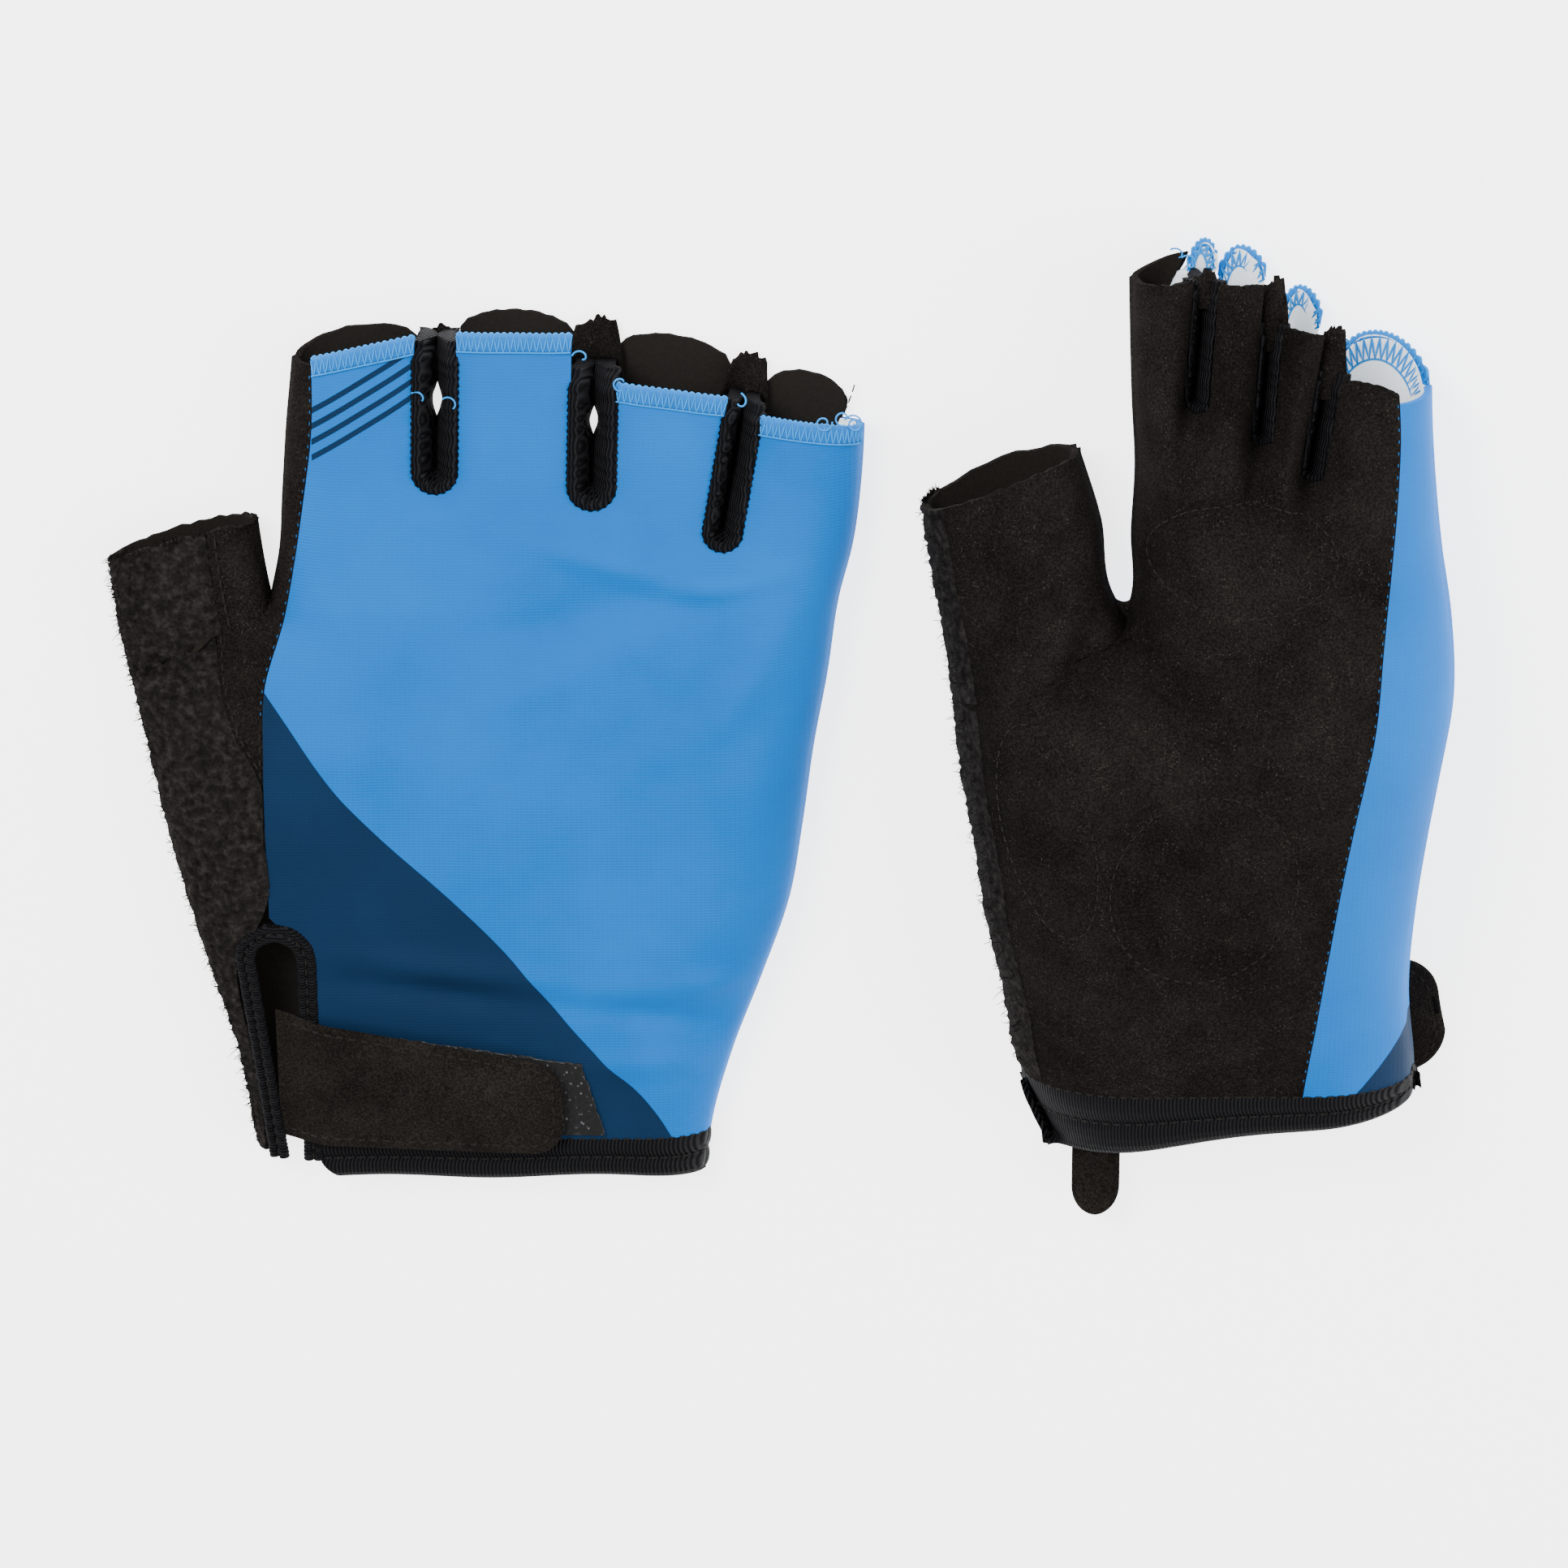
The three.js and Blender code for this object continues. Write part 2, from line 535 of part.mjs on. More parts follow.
function addBindings(mitt) {
  const left = mitt.wristBinding.map((row) => row[0]);
  const right = mitt.wristBinding.map((row) => row[1]);
  const closedLeft = !mitt.backUp;
  const net = netBetween(left, right, 8, closedLeft, true);
  const ring = layer(mitt, net, true, { thickness: BINDING, lap: () => LAP })
    .add(layer(mitt, net, false, { thickness: BINDING, lap: () => LAP }));
  const slitEnd = prism(shapeOf(slitOutline(mitt.slit, GAP)), edgeHeight(mitt, ...left[0]) + LIP, FAR);
  addPiece(`${mitt.name}_wrist_binding`, ring.subtract(slitEnd), 'satinRib');

  const { slit } = mitt;
  const inner = { ...slit, radius: slit.radius - PIPING, left: slit.left.map((x) => x + PIPING),
    right: slit.right.map((x) => x - PIPING), foot: slit.foot - 9 };
  const band = prism(shapeOf(slitOutline(slit, 0)), -FAR, FAR)
    .subtract(prism(shapeOf(slitOutline(inner, 0)), -FAR, FAR));
  const reach = slit.y + slit.radius + 2 - slit.foot;
  const ys = [0, 0.2, 0.4, 0.6, 0.8, 1].map((share) => slit.foot - 1 + share * reach);
  const xs = [slit.x - slit.radius - 1, slit.x, slit.x + slit.radius + 1];
  const piped = { outer: -PIPING_PROUD, thickness: PIPING_HEIGHT };
  const sheet = layer(mitt, ys.map((y) => xs.map((x) => [x, y])), mitt.backUp, piped);
  addPiece(`${mitt.name}_slit_binding`, band.intersect(sheet), 'satinRib');
}

function addPads(mitt) {
  for (const [name, pad] of Object.entries(mitt.pads)) {
    const reach = Math.max(pad.rx, pad.ry) + 1;
    const steps = [-1, -0.6, -0.2, 0.2, 0.6, 1];
    const net = steps.map((v) => steps.map((u) => [pad.x + u * reach, pad.y + v * reach]));
    const sheet = layer(mitt, net, !mitt.backUp, { outer: mitt.padInset, thickness: PAD });
    const outline = prism(ellipseShape(pad), -FAR, FAR, PAD_SEGMENTS);
    addPiece(`${mitt.name}_${name}_pad`, sheet.intersect(outline), 'foam');
  }
}

// the right tab lies over the back and follows it
function addRightClosure(mitt) {
  const netOver = (x0, x1, y0, y1) => [0, 0.5, 1].map((v) => [0, 0.2, 0.4, 0.6, 0.8, 1]
    .map((u) => [x0 + (x1 - x0) * u, y0 + (y1 - y0) * v]));
  const raised = (net, outer, thickness) => layer(mitt, net, true, { outer, thickness });
  const tabShape = roundEndedTab([[-93.6, -75.5], [-93.6, -49.5]], [[-42, -59.5], [-42, -77.8]], 6);
  const tabLift = LOOP_TAPE + HOOK_TAPE + TAB + 3 * GAP;
  addPiece('right_closure_tab',
    raised(netOver(-94, -41, -80, -48), -tabLift, TAB).intersect(prism(tabShape, -FAR, FAR)), 'suede');
  const loopShape = shapeOf([[-72, -73.5], [-35, -73.5], [-39, -60.5], [-72, -55]]);
  const loopTape = raised(netOver(-73, -34, -75, -54), -GAP - LOOP_TAPE, LOOP_TAPE);
  addPiece('right_loop_patch', loopTape.intersect(prism(loopShape, -FAR, FAR)), 'loop');
  const hookShape = shapeOf([[-66, -73], [-44.5, -73], [-44.5, -63], [-66, -58.5]]);
  const hookLift = LOOP_TAPE + HOOK_TAPE + 2 * GAP;
  const hookTape = raised(netOver(-67, -43, -74, -57), -hookLift, HOOK_TAPE);
  addPiece('right_hook_patch', hookTape.intersect(prism(hookShape, -FAR, FAR)), 'hook');
}

// the left tab lies flat on the table under the wrist
function addLeftClosure() {
  const tabShape = roundEndedTab([[64, -69], [64, -46]], [[121.5, -43.5], [123, -66]], 8);
  addPiece('left_closure_tab', prism(tabShape, 0, TAB), 'suede');
  const hookShape = shapeOf([[78, -65], [112, -63], [112, -48], [78, -49]]);
  addPiece('left_hook_patch', prism(hookShape, TAB + GAP, TAB + GAP + PATCH), 'hook');
  const loopShape = shapeOf([[70, -59], [94, -59], [94, -47], [70, -47]]);
  addPiece('left_loop_patch', prism(loopShape, FOOT - GAP - PATCH, FOOT - GAP), 'loop');
  const tongue = new THREE.Shape();
  tongue.moveTo(53, -73);
  tongue.lineTo(53, -87);
  tongue.quadraticCurveTo(57.5, -98.9, 62, -87);
  tongue.lineTo(62, -73);
  addPiece('left_slit_tongue', prism(tongue, 6.9, 8.3), 'suede');
}

for (const mitt of [RIGHT, LEFT]) {
  addBackAndPalm(mitt);
  addThumb(mitt);
  addGussets(mitt);
  addBindings(mitt);
  addPads(mitt);
}
addRightClosure(RIGHT);
addLeftClosure();

export default group;
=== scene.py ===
"""A pair of fingerless mitts on a pale table: cloth, seams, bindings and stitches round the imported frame.

Outlines are in millimetres in the frame's own axes, and meshes are made in metres.
"""
import math

import bmesh
import bpy
import numpy as np
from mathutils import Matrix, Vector


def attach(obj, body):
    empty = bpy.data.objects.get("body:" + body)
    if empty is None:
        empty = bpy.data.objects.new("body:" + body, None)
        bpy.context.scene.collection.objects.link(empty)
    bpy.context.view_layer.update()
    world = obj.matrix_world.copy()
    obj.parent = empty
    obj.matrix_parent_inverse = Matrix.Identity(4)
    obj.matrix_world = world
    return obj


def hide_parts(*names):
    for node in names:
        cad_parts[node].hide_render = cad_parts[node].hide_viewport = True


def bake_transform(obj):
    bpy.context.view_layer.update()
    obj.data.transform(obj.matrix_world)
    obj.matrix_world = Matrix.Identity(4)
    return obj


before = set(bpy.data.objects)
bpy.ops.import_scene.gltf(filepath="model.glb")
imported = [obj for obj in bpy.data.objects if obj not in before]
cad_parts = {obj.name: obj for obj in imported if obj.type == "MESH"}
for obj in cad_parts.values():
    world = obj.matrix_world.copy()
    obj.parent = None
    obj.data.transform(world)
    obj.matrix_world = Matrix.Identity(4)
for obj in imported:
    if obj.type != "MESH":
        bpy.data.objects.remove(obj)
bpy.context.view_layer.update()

MM = 0.001
CLOTH = 1.2            # cloth with its lining
LIP = 1.2              # half the height of the rolled side edge
FOOT = 4.6             # height of the left wrist above the table
CUT_EDGE = math.radians(55)   # cloth turns sharply round its cut edges
BAR_JOIN = 0.005       # points of a bar closer than this are one
STITCH_SINK = 0.25     # how far the ends of a stitch dip into the cloth
EDGE_DROP = 0.55       # suede tabs are rounded this deep at their edges
EDGE_WIDTH = 1.3       # over this width
TAB_INSET = 1.8        # from a tab's edge to its stitches
ROW_HAND = 1.5         # spacing of mesh rows over the hand
ROW_FINGER = 0.7       # spacing of mesh rows over the fingers
TILT = math.radians(18)   # camera, from straight above towards the fingertips
CAMERA_FAR = 0.966
LENS = 120.0
AIM = (-0.001, -0.0099, 0.0)
TABLE_HALF = 3000      # half the side of the table
TABLE_DROP = 0.05      # the table lies this far below the mitts
TABLE_TONE = 0.93
TABLE_GLOW = 3.0       # an even white sweep, as in a studio
SKY = 0.6
# name, place and size in metres, watts
LIGHTS = [("key", (-0.45, 0.55, 0.9), 0.5, 15), ("fill", (0.85, -0.1, 0.5), 0.8, 9),
          ("top", (0.0, 0.0, 1.3), 1.4, 8)]
UPPER_FOLDS = 1.9      # folds stand this much higher on the face that lies up
LOWER_LIFT = 0.3       # and are pressed this flat on the face that lies down
NUB = 0.35             # terry stands this much over its own cloth
UNDER_NUB = 0.3        # and this much on the face below

# ---------------------------------------------------------------- the two mitts

RIGHT = dict(
    name="right", back_up=True,
    heights=[(-84, 11, 12), (-60, 13, 14), (-30, 16, 16), (0, 18, 17), (28, 17.5, 16), (50, 15.5, 13),
             (79, 14, 9)],
    edge_share=0.38, lower_radius=9, drop=(0.33, -92, -106, -20, 16), dip=(1.5, 0, 6), foot=None,
    side=[(-99, -84), (-100, -75), (-102.3, -60), (-106.5, -45), (-110.5, -30), (-114, -15), (-117, 0),
          (-120, 14)],
    thumb_outer=[(-120, 14), (-121.5, 22), (-122.3, 29), (-123, 35)],
    thumb_inner=[(-94, 27), (-95, 32), (-95.8, 37), (-96.5, 42.5)],
    thumb_seam=-103.7, crotch=(2.2, 1.0, 1.2),
    index_side=[(-94, 27), (-93.3, 30), (-92, 36), (-91, 48), (-90, 60), (-88.5, 74), (-88, 82)],
    ulnar=[(-16, -84), (-15, -75), (-11, -60), (-5.5, -45), (-0.5, -30), (2, -15), (4, 0), (6.5, 14),
           (8.5, 28), (11, 38), (12.5, 50), (13, 60), (13, 66), (13, 82)],
    back_seam=[(-95.3, -84), (-95.3, -60), (-95.3, -30), (-95.3, 0), (-94.6, 14), (-91, 26), (-89, 36),
               (-87, 48), (-85.3, 60), (-85, 74), (-85, 82)],
    palm_seam=[(-38, -84), (-36, -75), (-32, -60), (-25, -45), (-18, -30), (-15, -15), (-12.5, 0), (-8.5, 14),
               (-5, 28), (0, 38), (5, 50), (9.5, 60), (11.6, 66), (12, 82)],
    gaps=[((-62.8, 80), (-63.4, 53.3), 7.5), ((-34.6, 80), (-35.4, 50.6), 8.0),
          ((-6.5, 74), (-12, 42.2), 6.5)],
    back_tips=[((-88, 73.5), (-66.5, 77.5)), ((-59, 78), (-38.6, 77.8)), ((-30.5, 69), (-9.5, 66.4)),
               ((-4, 63), (13, 60.3))],
    palm_tips=[((-88, 74), (-66.5, 76.5)), ((-59, 78.5), (-38.6, 77.5)), ((-30.5, 75), (-9.5, 71.5)),
               ((-4, 68), (13, 64.5))],
    palm_bow=[3.4, 3.6, 3.6, 4.2], back_bow=[0.3, 0.3, 0.3, 0.3], tip_lean=[0.0] * 4,
    dome=0.0, wrap_rise=0.0, flap_tops=[76.5, 78.0, 71.5],
    loose=[(-66, 66.5), (-60.5, 65.5), (-37, 74), (-9, 66), (6, 62.5), (9.5, 63), (11.5, 61.5), (-30, 69.5)],
    gusset_ends=[76.5, 71.5, 65.5], slot_open=[0.3, 0.26, 0.06],
    fold_y=28, blend=(22, 40), wrist_y=-77,
    wrist_band=([(-84, -84), (-87, -81), (-88.5, -75.3)], [(-16, -84), (-15.2, -75.3)]),
    wrist_rows=(-84, -75.3), wrist_rise=0.0, wrist_closed=False, lowest=0.0,
    slit=(-94.5, -39.3, 7.5), slit_legs=((-97.2, -80), (-87, -80)), lowest_slit=0.0,
    pads=dict(thumb=(-96, -12, 9, 20, 14), heel=(-52, -22, 19, 19, -20), knuckle=(-45, 38, 27, 8, 0)),
)

LEFT = dict(
    name="left", back_up=False,
    heights=[(-73, 26, 18), (-60, 29, 20), (-30, 36, 25), (0, 40, 27), (27, 36, 24), (60, 27, 12),
             (89, 23, 8)],
    edge_share=0.4, lower_radius=19, drop=(0.22, 62, 46, 0, 40), dip=(5, 3.5, 5), foot=(-42, -30),
    side=[(49, -73), (43, -60), (40, -45), (36.5, -30), (34.3, -16), (31.8, -3), (30, 12)],
    thumb_outer=[(30, 12), (28.6, 22), (26.4, 33), (24.2, 46)],
    thumb_inner=[(60.5, 26), (57.6, 31), (55.5, 44), (51.5, 56.5)],
    thumb_seam=31.5, crotch=(5.0, 1.0, 2.2),
    index_side=[(60.5, 26), (61.8, 30), (61.7, 42), (62.2, 54), (61.5, 66), (61, 78), (60.5, 94)],
    ulnar=[(116, -73), (115.5, -60), (113.8, -45), (114.3, -30), (115.8, -16), (117.6, -3), (119.6, 12),
           (118.7, 27), (116.6, 40), (115.2, 52), (114.4, 62), (114, 72), (114, 94)],
    back_seam=[(57, -73), (54, -60), (52, -45), (48, -30), (45, -16), (44, -3), (46, 12), (64, 27), (66, 42),
               (66, 54), (66, 66), (66, 78), (66, 94)],
    palm_seam=[(93, -73), (93.8, -60), (95.5, -45), (97.2, -30), (99, -16), (101, -3), (103.8, 12), (105, 27),
               (106.3, 40), (107.3, 52), (107.6, 62), (107, 72), (107, 94)],
    gaps=[((73.6, 96), (71.9, 67.5), 4.5), ((86, 96), (83.6, 61.5), 4.0), ((97.6, 86), (92.5, 55.5), 4.5)],
    back_tips=[((58, 90), (71.6, 91)), ((75.8, 88.8), (84, 88.8)), ((87.8, 81.5), (96, 80.5)),
               ((99.5, 72.7), (116, 71.7))],
    palm_tips=[((58, 88), (71.6, 89)), ((75.8, 88.5), (84, 88.5)), ((87.8, 81), (96, 79.5)),
               ((99.5, 72), (116, 70.5))],
    palm_bow=[0.8, 0.8, 1.0, 1.4], back_bow=[5.0, 4.6, 5.4, 7.0], tip_lean=[5.0, 1.4, 0.8, 0.0],
    dome=0.4, wrap_rise=3.6, flap_tops=[89.5, 88.2, 79.8],
    loose=[(69, 90.5), (71, 89.5), (99.5, 74)],
    gusset_ends=[88.5, 81, 72.5], slot_open=[0.0, 0.0, 0.0],
    fold_y=27, blend=(20, 50), wrist_y=-62.5,
    wrist_band=([(48, -72.5), (45, -66), (43.2, -60.3)], [(116, -72.5), (116, -66), (115.5, -60.3)]),
    wrist_rows=(-75.2, -60.3), wrist_rise=9.6, wrist_closed=True, lowest=4.6,
    slit=(56, -47, 7.5), slit_legs=((48.5, -59.5), (63.5, -59.5)), lowest_slit=2.2,
    pads=dict(thumb=(46, -8, 7.5, 20, 14), heel=(74, -18, 16, 18, -20), knuckle=(80, 41.5, 16, 9.5, 0)),
)

# soft folds: centre x, y, direction in degrees, half length, half width, height
FOLDS = {
    ("right", True): [(-28, 36, -14, 17, 3.2, 0.9), (-34, 28, 12, 20, 4, -0.7), (-12, 33, 8, 10, 2.4, 0.9),
                      (-40, 16, 24, 18, 4, 0.5), (-8, 14, 60, 14, 3.4, 0.6), (-20, 4, 35, 18, 4, 0.5),
                      (-14, -44, 4, 15, 2.4, 0.8), (-22, -51, -6, 18, 2.2, -0.6), (-24, -60, 4, 14, 2.6, 0.7),
                      (-62, -41, -8, 18, 2.2, 0.8), (-66, -46, -8, 16, 2, -0.8), (-60, 40, 80, 14, 4, 0.4),
                      (-45, -5, 60, 26, 6, 0.4), (-78, 5, 75, 24, 4, 0.4)],
    ("right", False): [(-50, 20, 10, 30, 5, 0.5), (-60, -30, 40, 26, 6, -0.4)],
    ("left", True): [(50.5, 20, 62, 12, 2.0, -1.7), (46.5, 23, 62, 13, 2.4, 0.9), (47, 36, 38, 10, 2.4, 0.7),
                     (44, 31, 38, 9, 2.0, -0.6), (70.5, 63, 86, 10, 2.2, -1.8), (82.5, 57, 84, 9, 2.2, -1.7),
                     (91.5, 51, 80, 9, 2.2, -1.5), (64.5, 58, 86, 12, 2.4, 0.9), (77, 60, 86, 10, 2.2, 0.9),
                     (88, 54, 82, 10, 2.2, 0.8), (57, 2, 72, 24, 3.5, 0.7), (85, 18, -28, 18, 3, 0.6),
                     (52, -36, 66, 14, 2.5, 0.6), (98, 0, 82, 26, 2.4, 0.4), (75, 26, -12, 13, 2.4, -0.7)],
    ("left", False): [(80, 10, 30, 26, 5, 0.5), (90, -20, -30, 24, 5, 0.5)],
}

# ---------------------------------------------------------------- maths on arrays of millimetres


def smooth(v, a, b):
    t = np.clip((v - a) / (b - a), 0, 1)
    return t * t * (3 - 2 * t)


def line_at(line, y):
    """x of a line at height y, as a smooth curve through its points."""
    pts = np.array(line, float)
    ys, xs = pts[:, 1], pts[:, 0]
    slopes = np.gradient(xs, ys)
    y = np.clip(y, ys[0], ys[-1])
    i = np.clip(np.searchsorted(ys, y) - 1, 0, len(ys) - 2)
    h = ys[i + 1] - ys[i]
    t = (y - ys[i]) / h
    a = (2 * t**3 - 3 * t**2 + 1) * xs[i] + (t**3 - 2 * t**2 + t) * h * slopes[i]
    return a + (-2 * t**3 + 3 * t**2) * xs[i + 1] + (t**3 - t**2) * h * slopes[i + 1]


def dense(line, step=1.5):
    ys = np.arange(line[0][1], line[-1][1], step)
    ys = np.append(ys, line[-1][1])
    return np.stack([line_at(line, ys), ys], 1)


def distance_to(points, line):
    a, b = line[:-1], line[1:]
    d = b - a
    length2 = (d**2).sum(1)
    best = np.full(len(points), 1e9)
    for k in range(len(a)):
        t = np.clip(((points - a[k]) @ d[k]) / length2[k], 0, 1)
        q = points - a[k] - t[:, None] * d[k]
        best = np.minimum(best, np.hypot(q[:, 0], q[:, 1]))
    return best


def crown(u):
    v = 1 - np.clip(u, 0, 1)
    return np.sqrt(np.clip(1 - v * v, 0, 1))


def wave_noise(x, y, seed, scale):
    """Gentle unevenness from a few crossed waves, the same on every run."""
    rng = np.random.default_rng(seed)
    total = np.zeros_like(x)
    for k in range(7):
        a = rng.uniform(0, math.pi)
        f = rng.uniform(0.6, 1.7) / scale
        total += np.sin((x * math.cos(a) + y * math.sin(a)) * f + rng.uniform(0, 6.28))
    return total / 7


def fine_noise(shape, seed):
    return np.random.default_rng(seed).uniform(-1, 1, shape)


def oval(x, y, centre, size, degrees):
    """Coordinates along and across a turned oval, 1 at its edge."""
    a = math.radians(degrees)
    dx, dy = x - centre[0], y - centre[1]
    return (dx * math.cos(a) + dy * math.sin(a)) / size[0], (-dx * math.sin(a) + dy * math.cos(a)) / size[1]


class Mitt:
    """The two faces of one mitt, as heights over the table."""

    def __init__(self, spec):
        self.__dict__.update(spec)
        lines = (self.side, self.thumb_outer, self.thumb_inner, self.index_side, self.ulnar)
        self.edges = [dense(line) for line in lines]
        self.table = np.array(self.heights, float)

    def side_distance(self, x, y):
        points = np.stack([x.ravel(), y.ravel()], 1)
        best = np.min([distance_to(points, e) for e in self.edges], 0)
        return best.reshape(x.shape)

    def gap_distance(self, x, y):
        points = np.stack([x.ravel(), y.ravel()], 1)
        best = np.full(len(points), 1e9)
        for top, bottom, width in self.gaps:
            best = np.minimum(best, distance_to(points, np.array([top, bottom], float)) - width / 2)
        return np.maximum(best, 0).reshape(x.shape)

    def full(self, x, y):
        share, x0, x1, y0, y1 = self.drop
        height = np.interp(y, self.table[:, 0], self.table[:, 1])
        return height * (1 - share * smooth(-x, -x0, -x1) * smooth(y, y0, y1))

    def middle(self, x, y):
        return self.edge_share * self.full(x, y)

    def foot_height(self, y):
        """The cupped mitt's wrist stands clear of the table."""
        return FOOT * (1 - smooth(y, *self.foot)) if self.foot else 0.0

    def face(self, upper, x, y):
        middle = self.middle(x, y)
        distance = self.side_distance(x, y)
        near = 1 - np.minimum(self.gap_distance(x, y) / self.dip[2], 1)
        if upper:
            rise = self.full(x, y) - middle - LIP
            radius = np.interp(y, self.table[:, 0], self.table[:, 2])
            return middle + LIP + rise * crown(distance / radius) - self.dip[0] * near**2
        fall = middle - LIP - self.foot_height(y)
        return middle - LIP - fall * crown(distance / self.lower_radius) + self.dip[1] * near**2

    def pad_bulge(self, x, y):
        """The palm swells over its pads, and the stitches round each one pull it in."""
        total = np.zeros_like(x)
        for px, py, rx, ry, turn in self.pads.values():
            u, v = oval(x, y, (px, py), (rx, ry), turn)
            r = np.sqrt(u * u + v * v)
            total += 0.7 * smooth(1.04 - r, 0, 0.5) - 0.3 * np.exp(-((r - 1.03) / 0.05) ** 2)
        return total

    def fabric(self, upper, x, y, raise_by=0.0):
        """The outer face with its folds, raised outwards by raise_by."""
        z = self.face(upper, x, y)
        level = smooth(self.side_distance(x, y), 0.5, 8)
        lift = np.zeros_like(x)
        stand = UPPER_FOLDS if upper else 1.0
        for fx, fy, turn, length, width, height in FOLDS[(self.name, upper)]:
            u, v = oval(x, y, (fx, fy), (length, width), turn)
            lift += stand * height * np.exp(-u * u - v * v)
        lift += 0.28 * wave_noise(x, y, 11 if self.back_up else 12, 7.0)
        if upper and not self.back_up:
            lift += self.pad_bulge(x, y)
        if upper:
            return z + lift * level + raise_by
        return np.maximum(z + LOWER_LIFT * lift * level - raise_by, 0.9 * self.foot_height(y))

    def on(self, upper, x, y, above=0.0, least=-np.inf):
        """Points on a face, raised by above and at least so far over the table."""
        return np.stack([x, y, np.maximum(self.fabric(upper, x, y) + above, least)], -1)


right, left = Mitt(RIGHT), Mitt(LEFT)
MITTS = (right, left)

# ---------------------------------------------------------------- mesh helpers


def new_object(name, verts, faces, materials, smooth_shading=True):
    mesh = bpy.data.meshes.new(name)
    points = [tuple(v) for v in np.asarray(verts) * MM]
    mesh.from_pydata(points, [], [tuple(int(i) for i in f) for f in faces])
    mesh.validate()
    for material in materials:
        mesh.materials.append(material)
    mesh.polygons.foreach_set("use_smooth", [smooth_shading] * len(mesh.polygons))
    mesh.update()
    obj = bpy.data.objects.new(name, mesh)
    bpy.context.scene.collection.objects.link(obj)
    return obj


def grid_faces(rows, columns, wrap=False):
    """Quads of a rows by columns net, with the columns closed into a ring if wrap."""
    last = columns if wrap else columns - 1
    i, j = np.meshgrid(np.arange(rows - 1), np.arange(last), indexing="ij")
    k = (j + 1) % columns
    quads = np.stack([i * columns + j, i * columns + k, (i + 1) * columns + k, (i + 1) * columns + j], -1)
    return quads.reshape(-1, 4)


def net_object(name, net, materials, turned=False, ring=False):
    """A sheet over a net of points. turned makes it face the other way, and ring closes its columns."""
    faces = grid_faces(*net.shape[:2], ring)
    return new_object(name, net.reshape(-1, 3), faces[:, ::-1] if turned else faces, materials)


def ring_faces(rings, sides):
    """Faces of a bar made of rings of points, with one face over each end."""
    last = (rings - 1) * sides
    ends = [list(range(sides)), [last + k for k in range(sides - 1, -1, -1)]]
    return grid_faces(rings, sides, True).tolist() + ends


def bar_object(name, net, material):
    """A closed bar over rings of points, with doubled points joined and what has no area dropped."""
    obj = new_object(name, net.reshape(-1, 3), ring_faces(*net.shape[:2]), [material])
    bm = bmesh.new()
    bm.from_mesh(obj.data)
    bmesh.ops.remove_doubles(bm, verts=bm.verts, dist=BAR_JOIN * MM)
    bmesh.ops.dissolve_degenerate(bm, edges=bm.edges, dist=BAR_JOIN * MM)
    bmesh.ops.recalc_face_normals(bm, faces=bm.faces)
    bm.to_mesh(obj.data)
    bm.free()
    return obj


def join_sheet(obj):
    """Joins doubled points of an open sheet, and keeps the way it faces."""
    bm = bmesh.new()
    bm.from_mesh(obj.data)
    bmesh.ops.remove_doubles(bm, verts=bm.verts, dist=0.03 * MM)
    bmesh.ops.dissolve_degenerate(bm, edges=bm.edges, dist=0.02 * MM)
    loose = [v for v in bm.verts if not v.link_faces]
    bmesh.ops.delete(bm, geom=loose, context="VERTS")
    bm.to_mesh(obj.data)
    bm.free()


def face_towards(obj, up):
    """Turns a sheet to face up, or down if up is negative."""
    bm = bmesh.new()
    bm.from_mesh(obj.data)
    if sum(f.normal.z * f.calc_area() for f in bm.faces) * up < 0:
        bmesh.ops.reverse_faces(bm, faces=bm.faces)
    bm.to_mesh(obj.data)
    bm.free()


def apply_modifiers(obj):
    depsgraph = bpy.context.evaluated_depsgraph_get()
    mesh = bpy.data.meshes.new_from_object(obj.evaluated_get(depsgraph))
    obj.modifiers.clear()
    obj.data = mesh
    mesh.polygons.foreach_set("use_smooth", [True] * len(mesh.polygons))
    mesh.set_sharp_from_angle(angle=CUT_EDGE)
    return obj


def thicken(obj, thickness):
    """Gives a sheet its thickness, inwards. A second material is its lining."""
    modifier = obj.modifiers.new("cloth", "SOLIDIFY")
    modifier.thickness = thickness * MM
    modifier.offset = -1
    modifier.material_offset = len(obj.data.materials) - 1
    modifier.material_offset_rim = 0
    return apply_modifiers(obj)


def tube_points(path, radius, sides, flat):
    """Rings of points round a path, for a thread or a piping. radius may be one number or one per point."""
    path = np.asarray(path, float)
    n = len(path)
    radius = np.broadcast_to(np.asarray(radius, float), (n,))
    ahead = np.vstack([path[1:], 2 * path[-1] - path[-2]])
    behind = np.vstack([2 * path[0] - path[1], path[:-1]])
    tangent = ahead - behind
    tangent /= np.maximum(np.linalg.norm(tangent, axis=1), 1e-9)[:, None]
    up = np.tile([0.0, 0.0, 1.0], (n, 1))
    steep = np.abs(tangent[:, 2]) > 0.95
    up[steep] = [1.0, 0.0, 0.0]
    across = np.cross(tangent, up)
    across /= np.linalg.norm(across, axis=1)[:, None]
    up = np.cross(across, tangent)
    angle = np.arange(sides) * 2 * math.pi / sides
    ring = across[:, None] * np.cos(angle)[None, :, None] + flat * up[:, None] * np.sin(angle)[None, :, None]
    return path[:, None] + ring * radius[:, None, None]


